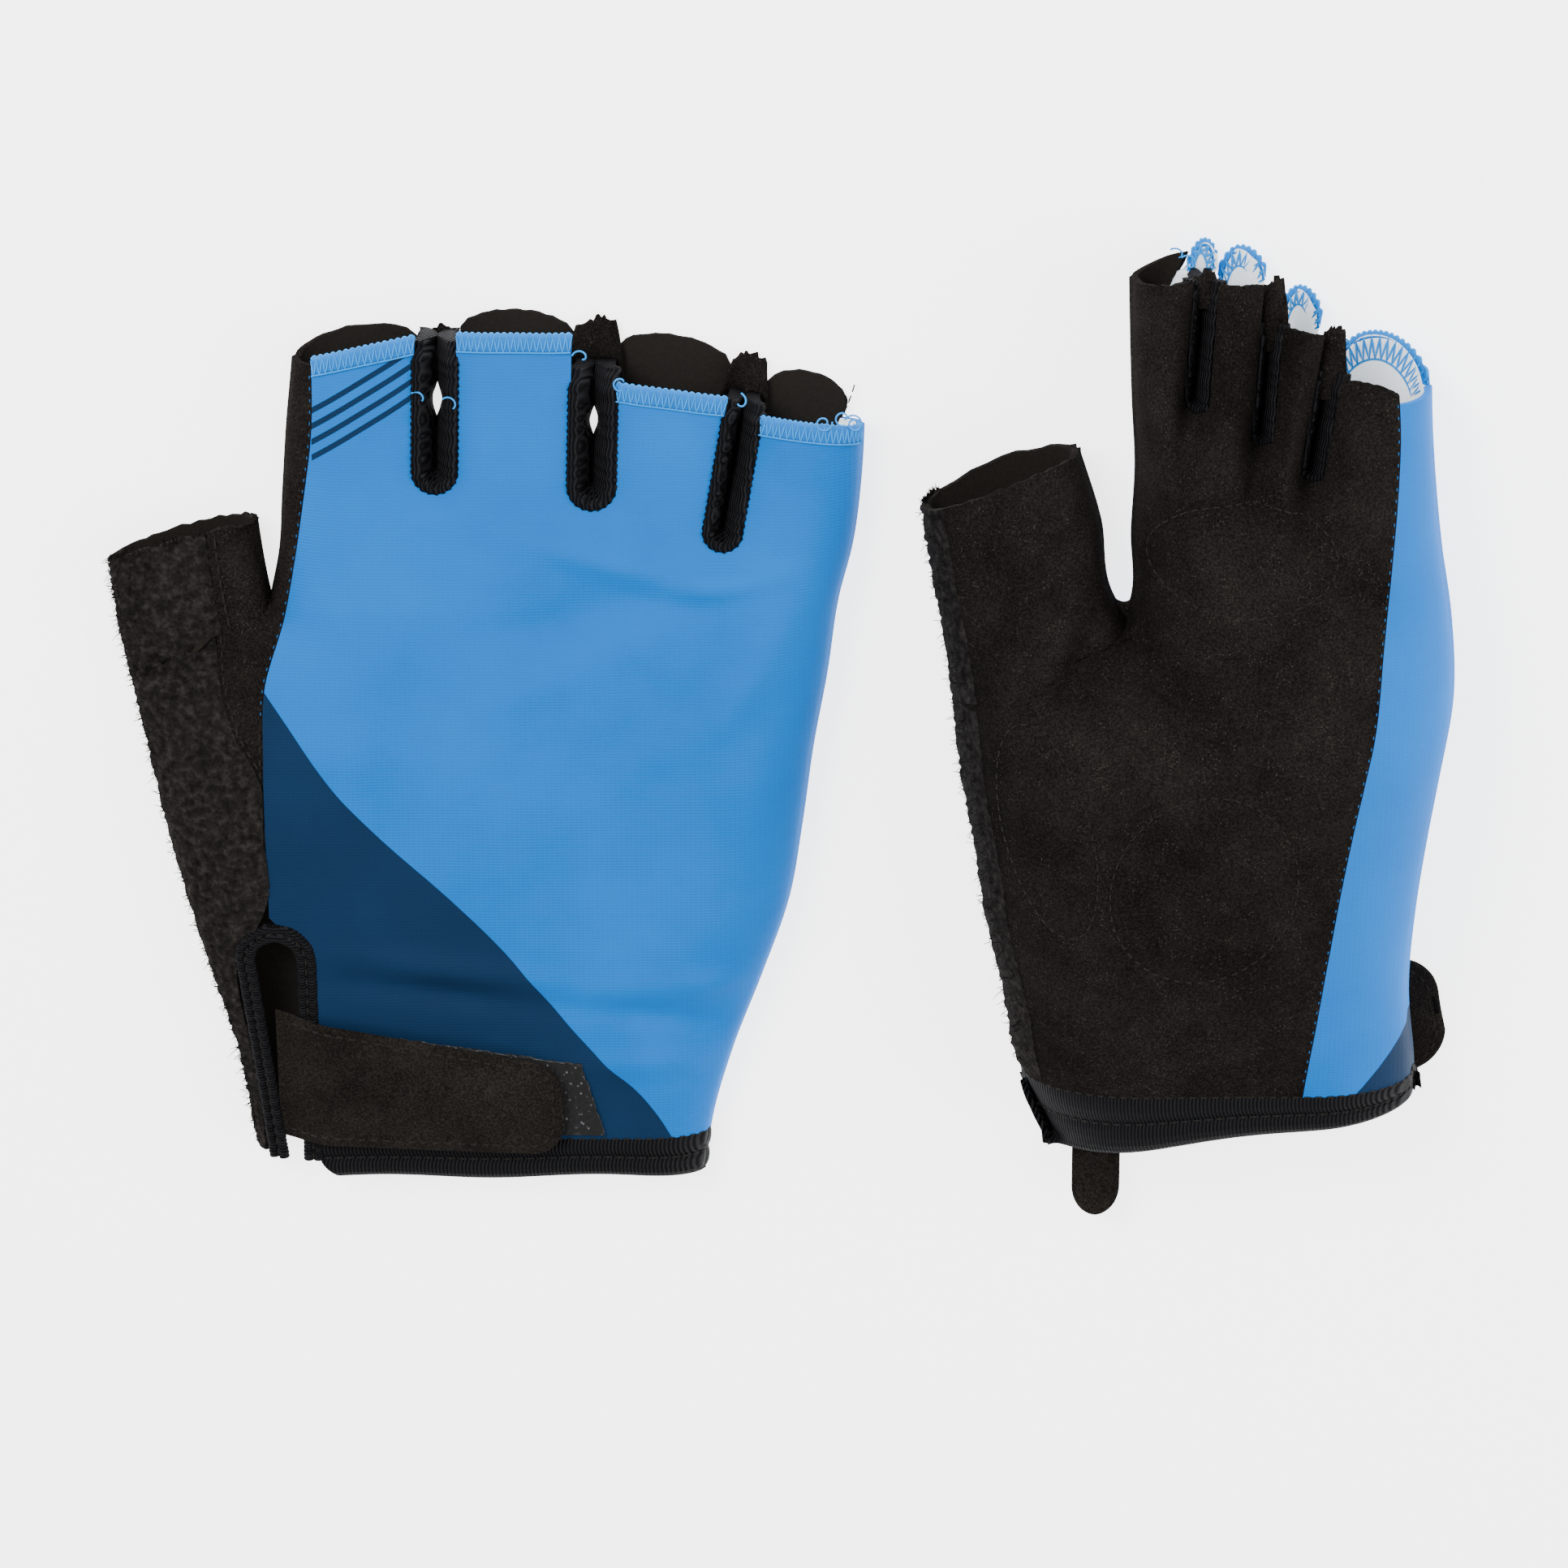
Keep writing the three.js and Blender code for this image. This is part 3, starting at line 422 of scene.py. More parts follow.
class Threads:
    """Many small tubes gathered into one mesh."""

    def __init__(self):
        self.verts, self.faces, self.count = [], [], 0

    def add(self, path, radius, sides=6, flat=1.0):
        points = tube_points(path, radius, sides, flat)
        n = len(points)
        self.verts.append(points.reshape(-1, 3))
        self.faces += [[self.count + k for k in face] for face in ring_faces(n, sides)]
        self.count += n * sides

    def stitch_line(self, path, normal_lift, pitch, length, radius):
        """Dashes along a path on the cloth, each dipping in at its ends."""
        end = -STITCH_SINK / max(abs(normal_lift), 0.1)
        path = np.asarray(path, float)
        steps = np.linalg.norm(np.diff(path, axis=0), axis=1)
        along = np.concatenate([[0], np.cumsum(steps)])
        start = 0.3 * pitch
        while start + length < along[-1]:
            s = start + length * np.array([0, 0.25, 0.5, 0.75, 1])
            centre = np.stack([np.interp(s, along, path[:, k]) for k in range(3)], 1)
            centre[:, 2] += normal_lift * np.array([end, 0.7, 1, 0.7, end])
            self.add(centre, radius, 5)
            start += pitch

    def make(self, name, material):
        return new_object(name, np.vstack(self.verts), self.faces, [material])


def stitched(name, material, path, lift, pitch, length, radius):
    """One line of stitches."""
    threads = Threads()
    threads.stitch_line(path, lift, pitch, length, radius)
    return threads.make(name, material)


def finish_piece(obj, body, replaces=(), second=None):
    """Rides on its body, or with a second body is baked where it stands, and hides the parts it replaces."""
    if second:
        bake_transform(obj)
    else:
        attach(obj, body)
    if replaces:
        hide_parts(*replaces)
    return obj


def finger_fold(obj, mitt, replaces=()):
    side = mitt.name
    return finish_piece(obj, f"{side}_hand", replaces, f"{side}_fingers")


# ---------------------------------------------------------------- materials


def rgb(text):
    """A screen colour such as 0090e0, as linear light."""
    values = [int(text[k:k + 2], 16) / 255 for k in (0, 2, 4)]
    return tuple((v / 12.92 if v <= 0.04045 else ((v + 0.055) / 1.055) ** 2.4) for v in values) + (1.0,)


class Nodes:
    """A small helper to lay out a material's nodes."""

    def __init__(self, name, roughness, sheen=0.0, specular=0.5):
        self.material = bpy.data.materials.new(name)
        self.material.use_nodes = True
        self.tree = self.material.node_tree
        self.shader = self.tree.nodes["Principled BSDF"]
        self.shader.inputs["Roughness"].default_value = roughness
        self.shader.inputs["Specular IOR Level"].default_value = specular
        self.shader.inputs["Sheen Weight"].default_value = sheen
        self.shader.inputs["Sheen Roughness"].default_value = 0.5
        self.coords = self.add("ShaderNodeTexCoord").outputs["Object"]

    def add(self, kind, **values):
        node = self.tree.nodes.new(kind)
        for key, value in values.items():
            if key in node.inputs:
                node.inputs[key].default_value = value
            else:
                setattr(node, key, value)
        return node

    def link(self, out, to):
        self.tree.links.new(out, to)

    def math(self, operation, a, b=0.0, c=0.0):
        node = self.add("ShaderNodeMath", operation=operation)
        for socket, value in zip(node.inputs, (a, b, c)):
            if isinstance(value, (int, float)):
                socket.default_value = value
            else:
                self.link(value, socket)
        return node.outputs[0]

    def noise(self, scale, detail=3.0, roughness=0.5, stretch=None):
        node = self.add("ShaderNodeTexNoise", Scale=scale, Detail=detail, Roughness=roughness)
        self.link(self.stretched(stretch), node.inputs["Vector"])
        return node.outputs["Fac"]

    def stretched(self, stretch):
        if stretch is None:
            return self.coords
        node = self.add("ShaderNodeMapping")
        node.inputs["Scale"].default_value = stretch
        self.link(self.coords, node.inputs["Vector"])
        return node.outputs["Vector"]

    def voronoi(self, scale):
        node = self.add("ShaderNodeTexVoronoi", Scale=scale)
        self.link(self.coords, node.inputs["Vector"])
        return node.outputs["Distance"]

    def ramp(self, factor, stops):
        node = self.add("ShaderNodeValToRGB")
        elements = node.color_ramp.elements
        for k, (place, colour) in enumerate(stops):
            element = elements[k] if k < 2 else elements.new(place)
            element.position = place
            element.color = colour
        self.link(factor, node.inputs["Fac"])
        return node.outputs["Color"]

    def mix(self, factor, a, b):
        node = self.add("ShaderNodeMix", data_type="RGBA")
        for socket, value in ((node.inputs[0], factor), (node.inputs[6], a), (node.inputs[7], b)):
            if isinstance(value, (int, float, tuple)):
                socket.default_value = value
            else:
                self.link(value, socket)
        return node.outputs[2]

    def xyz(self):
        node = self.add("ShaderNodeSeparateXYZ")
        self.link(self.coords, node.inputs[0])
        return node.outputs

    def colour(self, out):
        self.link(out, self.shader.inputs["Base Color"])

    def bump(self, height, strength, distance):
        node = self.add("ShaderNodeBump", Strength=strength, Distance=distance * MM)
        self.link(height, node.inputs["Height"])
        self.link(node.outputs[0], self.shader.inputs["Normal"])


BLUE, BLUE_DEEP, BLUE_LIGHT = rgb("0063b4"), rgb("0059a6"), rgb("006dc0")
NAVY, NAVY_LIGHT = rgb("0c2139"), rgb("102b49")


RIB_PITCH, LOOP_PITCH = 0.00055, 0.0009
# border of the right mitt's navy corner in millimetres, and the box its curve is laid out in
CORNER = [(-100, 20), (-94.7, 12.9), (-81.6, -7), (-55.5, -33.8), (-35, -59.3), (-27, -67.4), (-22, -75.5),
          (-18, -86)]
BOX_LEFT, BOX_LOW, BOX_WIDTH, BOX_HEIGHT = -100, -90, 100, 110
# the four slanting stripes in metres: a line's slope and start, then the field they are cut from
STRIPE_SLOPE, STRIPE_START = 0.61, 0.0855
STRIPE_PITCH, STRIPE_SHARE = 0.0028, 0.4
STRIPES_LOW, STRIPES_HIGH = 0.0534, 0.0646
STRIPES_LEFT, STRIPES_RIGHT = -0.0853, -0.0668
# the left mitt's corner in metres: below a slanting line, and below a level
LEFT_SLOPE, LEFT_START, LEFT_LEVEL = 1.1, 0.170, -0.0045
LEFT_TOP = -0.038


def knit_height(n):
    """Fine ribs across the hand with a loop structure along them."""
    x, y, _ = n.xyz()
    rib = n.math("SINE", n.math("MULTIPLY", y, 2 * math.pi / RIB_PITCH))
    loop = n.math("SINE", n.math("MULTIPLY", x, 2 * math.pi / LOOP_PITCH))
    return n.math("ADD", rib, n.math("MULTIPLY", loop, 0.35))


def right_print(n):
    """Where the right mitt is navy: its corner and its stripes."""
    x, y, _ = n.xyz()
    curve = n.add("ShaderNodeFloatCurve")
    points = curve.mapping.curves[0].points
    while len(points) < len(CORNER):
        points.new(0.5, 0.5)
    for point, (px, py) in zip(points, CORNER):
        point.location = ((px - BOX_LEFT) / BOX_WIDTH, (py - BOX_LOW) / BOX_HEIGHT)
    curve.mapping.update()
    across = n.math("ADD", x, -BOX_LEFT * MM)
    n.link(n.math("MULTIPLY", across, 1 / (BOX_WIDTH * MM)), curve.inputs["Value"])
    border = n.math("ADD", n.math("MULTIPLY", curve.outputs[0], BOX_HEIGHT * MM), BOX_LOW * MM)
    corner = n.math("MULTIPLY", n.math("LESS_THAN", y, border), n.math("LESS_THAN", x, CORNER[-1][0] * MM))
    along = n.math("SUBTRACT", y, n.math("MULTIPLY", n.math("ADD", x, STRIPE_START), STRIPE_SLOPE))
    step = n.math("FRACT", n.math("DIVIDE", n.math("SUBTRACT", STRIPES_HIGH, along), STRIPE_PITCH))
    stripes = n.math("LESS_THAN", step, STRIPE_SHARE)
    for value, low, high in ((along, STRIPES_LOW, STRIPES_HIGH), (x, STRIPES_LEFT, STRIPES_RIGHT)):
        stripes = n.math("MULTIPLY", stripes, n.math("GREATER_THAN", value, low))
        stripes = n.math("MULTIPLY", stripes, n.math("LESS_THAN", value, high))
    return n.math("MAXIMUM", corner, stripes)


def left_print(n):
    """Where the left mitt is navy: the part of its corner that wraps round the side."""
    x, y, _ = n.xyz()
    over = n.math("ADD", n.math("MULTIPLY", x, -LEFT_SLOPE), n.math("ADD", y, LEFT_START))
    return n.math("MULTIPLY", n.math("LESS_THAN", over, LEFT_LEVEL), n.math("LESS_THAN", y, LEFT_TOP))


def knit_material(name, printed):
    """Smooth stretch knit. The right mitt's print has a navy corner and four slanting stripes."""
    n = Nodes(name, 0.62, specular=0.04)
    tone = n.ramp(n.noise(45, 4), [(0.3, BLUE_DEEP), (0.5, BLUE), (0.75, BLUE_LIGHT)])
    tone = n.mix(0.45, BLUE, tone)
    dark = n.mix(n.noise(60, 3), NAVY, NAVY_LIGHT)
    n.colour(n.mix(right_print(n) if printed else left_print(n), tone, dark))
    n.bump(knit_height(n), 0.35, 0.05)
    return n.material


def scaled(colour, share):
    return tuple(share * c for c in colour[:3]) + (1,)


def suede_material(name, colour, lint):
    """Dark nap: cloudy in patches, grainy close up, with sparse pale lint."""
    n = Nodes(name, 1.0, specular=0.01)
    base = rgb(colour)
    shade = n.ramp(n.noise(70, 6, 0.65), [(0.3, scaled(base, 0.65)), (0.7, scaled(base, 1.45))])
    grain = n.ramp(n.noise(2600, 2, 0.6), [(0.4, (0.7, 0.7, 0.7, 1)), (0.68, (1.9, 1.85, 1.8, 1))])
    mixed = n.add("ShaderNodeMix", data_type="RGBA", blend_type="MULTIPLY")
    mixed.inputs[0].default_value = 1.0
    n.link(shade, mixed.inputs[6])
    n.link(grain, mixed.inputs[7])
    fleck = n.math("LESS_THAN", n.voronoi(1500), 0.2)
    sparse = n.math("GREATER_THAN", n.noise(300, 2), 0.55)
    specks = n.math("MULTIPLY", n.math("MULTIPLY", fleck, sparse), lint)
    n.colour(n.mix(specks, mixed.outputs[2], rgb("554d44")))
    n.bump(n.math("ADD", n.noise(2200, 4, 0.7), n.math("MULTIPLY", n.noise(420, 3), 0.8)), 0.8, 0.35)
    return n.material


def fleece_material():
    n = Nodes("terry", 1.0, specular=0.01)
    nub_and_highlight = n.noise(650, 6, 0.65)
    # painted highlight and shade: the raised nub tops are coloured lighter and the hollows darker, from the
    # same noise as their bump
    n.colour(n.ramp(nub_and_highlight, [(0.36, rgb("141312")), (0.52, rgb("201e1d")), (0.68, rgb("302d2b"))]))
    n.bump(nub_and_highlight, 1.0, 0.9)
    return n.material


def satin_material(name, pitch, angle=0.0):
    """Black elastic with fine ribs that catch the light."""
    n = Nodes(name, 0.7, specular=0.06)
    x, y, z = n.xyz()
    across = n.math("ADD", n.math("MULTIPLY", x, math.cos(angle)), n.math("MULTIPLY", y, math.sin(angle)))
    across = n.math("ADD", across, n.math("MULTIPLY", z, 0.6))
    rib = n.math("SINE", n.math("MULTIPLY", across, 2 * math.pi / pitch))
    # painted highlight and shade: the rib crests are coloured lighter and the grooves darker, along the same
    # sine as the bump
    n.colour(n.mix(n.math("MULTIPLY", n.math("ADD", rib, 1.0), 0.5), rgb("060607"), rgb("1d1d20")))
    n.bump(rib, 1.0, 0.2)
    return n.material


def thread_material(name, colour, spread=0.25):
    n = Nodes(name, 0.75, sheen=0.05, specular=0.12)
    base = rgb(colour)
    pale = tuple(min(1, c * (1 + spread) + 0.002) for c in base[:3]) + (1,)
    n.colour(n.mix(n.noise(700, 2), base, pale))
    n.bump(n.noise(3000, 2, stretch=(1, 3, 1)), 0.3, 0.05)
    return n.material


def lining_material(name, colour, painted_glow=0.0):
    n = Nodes(name, 0.9, specular=0.04)
    base = rgb(colour)
    n.colour(n.mix(n.noise(1400, 4), scaled(base, 0.6), base))
    n.bump(n.noise(1500, 3), 0.7, 0.2)
    # painted light: the lining's emission stands in for light reaching inside the mitt
    if painted_glow:
        n.shader.inputs["Emission Color"].default_value = base
        n.shader.inputs["Emission Strength"].default_value = painted_glow
    return n.material


def rough_material(name, low, high, scale):
    n = Nodes(name, 0.85, sheen=0.1, specular=0.3)
    grain = n.voronoi(scale)
    n.colour(n.ramp(grain, [(0.0, rgb(high)), (0.28, rgb(low))]))
    n.bump(grain, 0.9, 0.4)
    return n.material


M = dict(
    knit_right=knit_material("knit_right", True),
    knit_left=knit_material("knit_left", False),
    suede=suede_material("suede", "161413", 0.3),
    suede_tab=suede_material("suede_tab", "191715", 0.12),
    fleece=fleece_material(),
    satin=satin_material("satin_rib", 0.0008),
    satin_wrist=satin_material("satin_wrist", 0.0007),
    satin_slit=satin_material("satin_slit", 0.0006, math.pi / 2),
    hem=thread_material("hem_cloth", "0066b2"),
    hem_thread=thread_material("hem_thread", "1a82cc", 0.3),
    seam_blue=thread_material("seam_thread_blue", "0d4b7c"),
    seam_dark=thread_material("seam_thread_dark", "16130f"),
    # the pale lining glows at 0.5, painted light inside the mitt
    lining=lining_material("lining_pale", "eef5fb", 0.5),
    lining_dark=lining_material("lining_dark", "211e1b"),
    loop=rough_material("loop_pile", "030304", "6a6a70", 1000),
    hook=rough_material("hook_face", "0a0a0c", "1e1e22", 900),
    foam=rough_material("foam", "3c3c40", "55555a", 500),
)

# ---------------------------------------------------------------- cloth layers

FINGERS = ("index", "middle", "ring", "little")
TERRY_WRAP = 3.4       # how far the terry comes round the edge onto the palm
TERRY_TURN = 6         # columns of its net before the outline
COLUMNS = 16           # mesh columns on each finger


def palm_left(mitt, y):
    """Left edge of the palm: the side, then the thumb's fold line, then the index finger's side."""
    y0, y1 = mitt.thumb_outer[0][1], mitt.thumb_inner[0][1]
    above = np.where(y < y1, thumb_root(mitt, y), line_at(mitt.index_side, y))
    return np.where(y < y0, line_at(mitt.side, y), above)


def knit_left(mitt, y):
    """Left edge of the knit back: its seam, then the side of the wrist slit."""
    cx, cy, radius = mitt.slit
    beside = cx + np.sqrt(np.clip(radius**2 - np.clip(y - cy, 0, None) ** 2, 0, None)) - 1.2
    seam = line_at(mitt.back_seam, y)
    return np.where(y < cy + radius, np.maximum(beside, seam), seam)


def layer_lines(mitt, back):
    if back:
        return (lambda y: knit_left(mitt, y)), (lambda y: line_at(mitt.ulnar, y))
    return (lambda y: palm_left(mitt, y)), (lambda y: line_at(mitt.palm_seam, y))


def gap_edges(mitt, k, lines, y):
    """Left and right edge of slot k at height y. Below the slot both are one line in the cloth."""
    (tx, ty), (bx, by), width = mitt.gaps[k]
    r = width / 2
    lean = (tx - bx) / (ty - by)
    low = by - r
    left, right = lines
    share = (bx - left(np.array(low))) / (right(np.array(low)) - left(np.array(low)))
    below = left(y) + share * (right(y) - left(y))
    centre = np.where(y > by, bx + lean * (y - by), np.where(y > low, bx, below))
    half = np.where(y > by, r, np.sqrt(np.clip(r * r - (by - y) ** 2, 0, None)) * (y > low))
    return centre - half, centre + half


def finger_bounds(mitt, k, lines, y):
    left = lines[0](y) if k == 0 else gap_edges(mitt, k - 1, lines, y)[1]
    right = lines[1](y) if k == 3 else gap_edges(mitt, k, lines, y)[0]
    return left, right


def tip_height(tips, k, share, bow):
    """Height of a fingertip edge: straight between its ends, and domed by bow."""
    (_, y0), (_, y1) = tips[k]
    dome = np.clip(1 - (2 * share - 1) ** 2, 0, 1) ** 0.6
    return y0 + (y1 - y0) * share + bow * (dome - 0.5)


def lean_out(mitt, k, y, tip):
    """The back's fingertips spread sideways where they stand clear of the palm."""
    return mitt.tip_lean[k] * smooth(y, tip - 9, tip)


def row_heights(mitt):
    hand = np.arange(mitt.wrist_y, mitt.fold_y + 8, ROW_HAND)
    finger = np.arange(mitt.fold_y + 8, 96, ROW_FINGER)
    return np.concatenate([hand, finger])


def layer_net(mitt, back, ragged=0.0):
    """Points of one cloth layer and of the strip that wraps round its side edge."""
    upper = mitt.back_up == back
    lines = layer_lines(mitt, back)
    tips = mitt.back_tips if back else mitt.palm_tips
    bows = mitt.back_bow if back else mitt.palm_bow
    rows = row_heights(mitt)
    xs, ys = [], []
    tip_noise = fine_noise((4, COLUMNS + 1), 5) * ragged
    for k in range(4):
        share = np.linspace(0, 1, COLUMNS + 1)
        if k == 0:
            share = share**1.6
        if k == 3:
            share = 1 - (1 - share) ** 1.6
        tip = tip_height(tips, k, share, bows[k]) + tip_noise[k]
        y = np.minimum(rows[:, None], tip[None, :])
        left, right = finger_bounds(mitt, k, lines, y)
        x_row = left + (right - left) * share
        if back:
            x_row = x_row + lean_out(mitt, k, y, tip)
        xs.append(x_row)
        ys.append(y)
    x, y = np.hstack(xs), np.hstack(ys)
    z = mitt.fabric(upper, x, y)
    wrap_share = np.linspace(0, 1, 9) ** 1.5
    if back:
        edge_x, edge_y = x[:, -1:], y[:, -1:]
        far = line_at(mitt.palm_seam, edge_y)
        wx = edge_x + (far - edge_x) * wrap_share
        side = 1
    else:
        edge_x, edge_y = x[:, :1], y[:, :1]
        grown = smooth(edge_y, mitt.fold_y - 2, mitt.fold_y)
        far = edge_x + (line_at(mitt.back_seam, edge_y) - edge_x) * grown
        wx = edge_x + (far - edge_x) * wrap_share
        side = -1
    wy = np.repeat(edge_y, len(wrap_share), 1)
    if not back:
        near_tip = smooth(edge_y, edge_y.max() - 8, edge_y.max())
        wy = wy + mitt.wrap_rise * near_tip * wrap_share
        wx = wx + mitt.tip_lean[0] * near_tip * wrap_share
    wz = mitt.fabric(not upper, wx, wy)
    middle_z = mitt.middle(edge_x, edge_y)
    bulge = 0.5 * side
    if not back:
        on_fold = (edge_y > mitt.thumb_outer[0][1]) & (edge_y < mitt.thumb_inner[0][1])
        edge_z = z[:, :1]
        middle_z = np.where(on_fold, edge_z, middle_z)
        bulge = np.where(on_fold, 0.0, bulge)
        wz = np.where(on_fold, edge_z, wz)
        no_wrap = edge_y <= mitt.thumb_outer[0][1]
        wz = np.where(no_wrap, middle_z, wz)
        wx = np.where(no_wrap, edge_x + bulge, wx)
    mid = np.stack([edge_x + bulge, edge_y, middle_z], -1)
    wrap = np.stack([wx, wy, wz], -1)
    main = np.stack([x, y, z], -1)
    if back:
        return np.concatenate([main, mid, wrap], 1), upper
    return np.concatenate([wrap[:, ::-1], mid, main], 1), upper


def make_layer(mitt, back, name, materials, replaced, ragged):
    net, upper = layer_net(mitt, back, ragged)
    rows, columns = net.shape[:2]
    faces = grid_faces(rows, columns)
    first = 0 if back else columns - 4 * (COLUMNS + 1)
    between = [first + (k + 1) * (COLUMNS + 1) - 1 for k in range(3)]
    faces = faces[~np.isin(faces[:, 0] % columns, between)]
    if not upper:
        faces = faces[:, ::-1]
    obj = new_object(name, net.reshape(-1, 3), faces, materials)
    join_sheet(obj)
    thicken(obj, CLOTH)
    return finger_fold(obj, mitt, replaced)


def make_layers(mitt):
    side = mitt.name
    make_layer(mitt, True, f"{side}_knit_back", [M["knit_" + side], M["lining"]],
               (f"{side}_back_hand", f"{side}_back_fingers"), 0.0)
    make_layer(mitt, False, f"{side}_suede_palm", [M["suede"], M["lining_dark"]],
               (f"{side}_palm_hand", f"{side}_palm_fingers"), 0.16)


# ---------------------------------------------------------------- thumb, terry panel and web

FLEECE_INNER = dict(
    right=[(-98.0, -80), (-98.6, -70), (-99.6, -60), (-101.6, -47), (-101.6, -40), (-98.4, -34), (-96, -29),
           (-95.8, -14), (-96.4, -3), (-100.5, 4), (-102.9, 11.6), (-103.7, 22.1)],
    left=[(48.4, -60), (48.4, -47), (48.2, -40), (47.7, -30), (44.7, -16), (43.7, -3), (41.5, 8),
          (39.6, 16.4)],
)


def thumb_point(mitt, t, share):
    outer, inner = dense_by_share(mitt.thumb_outer, t), dense_by_share(mitt.thumb_inner, t)
    return outer + (inner - outer) * share[..., None]


def dense_by_share(line, t):
    ys = [y for _, y in line]
    y = np.interp(t, np.linspace(0, 1, len(ys)), ys)
    return np.stack([line_at(line, y), y], -1)


def thumb_rim(t, share):
    """The thumb's rim bows outwards a little in the middle."""
    return 1.2 * smooth(t, 0.7, 1.0) * (1 - (2 * share - 1) ** 2)


def make_thumb(mitt):
    side = mitt.name
    rows = np.linspace(0, 1, 46)
    outer, inner = np.array(mitt.thumb_outer[0], float), np.array(mitt.thumb_inner[0], float)
    axis = inner - outer
    seam = (mitt.thumb_seam - mitt.thumb_outer[1][0]) / (mitt.thumb_inner[1][0] - mitt.thumb_outer[1][0])
    up = mitt.back_up

    def points(share, upper, lift=0.0):
        t = np.repeat(rows[:, None], len(share), 1)
        s = np.repeat(share[None, :], len(rows), 0)
        p = thumb_point(mitt, t, s)
        p[..., 1] += thumb_rim(t, s)
        z = mitt.fabric(upper, p[..., 0], p[..., 1], lift)
        return np.concatenate([p, z[..., None]], -1)

    def edge(share, push):
        p = points(np.array([share]), up)
        p[..., 2] = mitt.middle(p[..., 0], p[..., 1])
        p[..., 0] += push
        return p

    def ride(obj, replaced=()):
        finish_piece(obj, f"{side}_hand", replaced, f"{side}_thumb")

    turn_in = np.linspace(TERRY_WRAP, 0.3, TERRY_TURN - 1) / abs(axis[0])
    cosine = 0.5 - 0.5 * np.cos(np.linspace(0, math.pi, 30))
    under = points(cosine, not up)
    over_share = 1 - (1 - seam) * (1 - np.cos(np.linspace(0, math.pi / 2, 14)))
    over = points(over_share, up)
    net = np.concatenate([edge(0.0, -0.3), under, edge(1.0, 0.5), over], 1)
    net[-1] += fine_noise(net[-1].shape, 21) * 0.25
    suede = net_object(f"{side}_thumb_front", net, [M["suede"], M["lining_dark"]], up)
    thicken(suede, CLOTH)
    ride(suede, (f"{side}_thumb_suede",))

    back_share = seam * (1 - np.cos(np.linspace(0, math.pi / 2, 26)))
    terry = np.concatenate([points(turn_in, not up, 0.0 if up else UNDER_NUB), edge(0.0, -0.6),
                            points(back_share, up, NUB if up else 0.0)], 1)
    terry = terry_nubs(terry, up)
    fleece = net_object(f"{side}_thumb_terry", terry, [M["fleece"], M["lining_dark"]], not up)
    thicken(fleece, CLOTH)
    ride(fleece, (f"{side}_thumb_fleece",))
    ride(terry_fuzz(f"{side}_thumb_terry_fuzz", terry, 420, 36))
    rim = Threads()
    rng = np.random.default_rng(38)
    edge_loop = terry[-1, TERRY_TURN:]
    for place in rng.uniform(0, len(edge_loop) - 1, 150):
        root = np.array([np.interp(place, np.arange(len(edge_loop)), edge_loop[:, k]) for k in range(3)])
        lean = rng.normal(0, 0.35, 3)
        rim.add([root - [0, 0.6, 0], root + lean * 0.5, root + [0, 0.5, 0] + lean], [0.14, 0.12, 0.06], 3)
    ride(rim.make(f"{side}_thumb_rim_fibres", M["fleece"]))
    seam_path = points(np.array([seam + 0.06]), up, NUB)[:, 0]
    lift = 0.3 if up else -0.3
    ride(stitched(f"{side}_thumb_seam_stitches", M["seam_dark"], seam_path, lift, 2.4, 1.3, 0.2))


def terry_nubs(net, up):
    """Terry loops stand up unevenly. The same place always has the same height, so that pieces meet."""
    x, y = net[..., 0], net[..., 1]
    nubs = wave_noise(x, y, 33, 0.3) + 0.7 * wave_noise(x, y, 34, 0.62)
    net[..., 2] += (1 if up else -0.4) * 0.55 * nubs
    outer = slice(TERRY_TURN - 1, TERRY_TURN + 2)
    ragged = wave_noise(net[:, outer, 1] * 2.2, net[:, outer, 1], 35, 0.45)
    net[:, outer, 0] -= 0.55 * ragged + 0.15
    net[..., 2] = np.maximum(net[..., 2], 0.1)
    return net


def terry_fuzz(name, net, count, seed):
    """Short curved fibres standing on a terry panel."""
    rng = np.random.default_rng(seed)
    rows, columns = net.shape[:2]
    fuzz = Threads()
    for _ in range(count):
        i = int(rng.integers(1, rows - 1))
        j = int(min(columns - 2, 1 + rng.exponential(columns / 3.2)))
        root = net[i, j] + (net[i + 1, j] - net[i, j]) * rng.uniform()
        root = root + (net[i, j + 1] - net[i, j]) * rng.uniform()
        normal = np.cross(net[i, j + 1] - net[i, j - 1], net[i + 1, j] - net[i - 1, j])
        outwards = normal[2] if abs(normal[2]) > abs(normal[0]) else -normal[0]
        normal *= np.sign(outwards) / max(np.linalg.norm(normal), 1e-6)
        lean = rng.normal(0, 0.7, 3)
        length = rng.uniform(0.5, 1.1)
        path = [root, root + (normal + 0.4 * lean) * length * 0.5, root + (normal + lean) * length * 0.8]
        if path[-1][2] > 0.1:
            fuzz.add(path, [0.09, 0.08, 0.05], 3)
    return fuzz.make(name, M["fleece"])


def thumb_root(mitt, y):
    """The thumb's fold line from its outer to its inner end."""
    (x0, y0), (x1, y1) = mitt.thumb_outer[0], mitt.thumb_inner[0]
    return x0 + (x1 - x0) * np.clip((y - y0) / (y1 - y0), 0, 1)


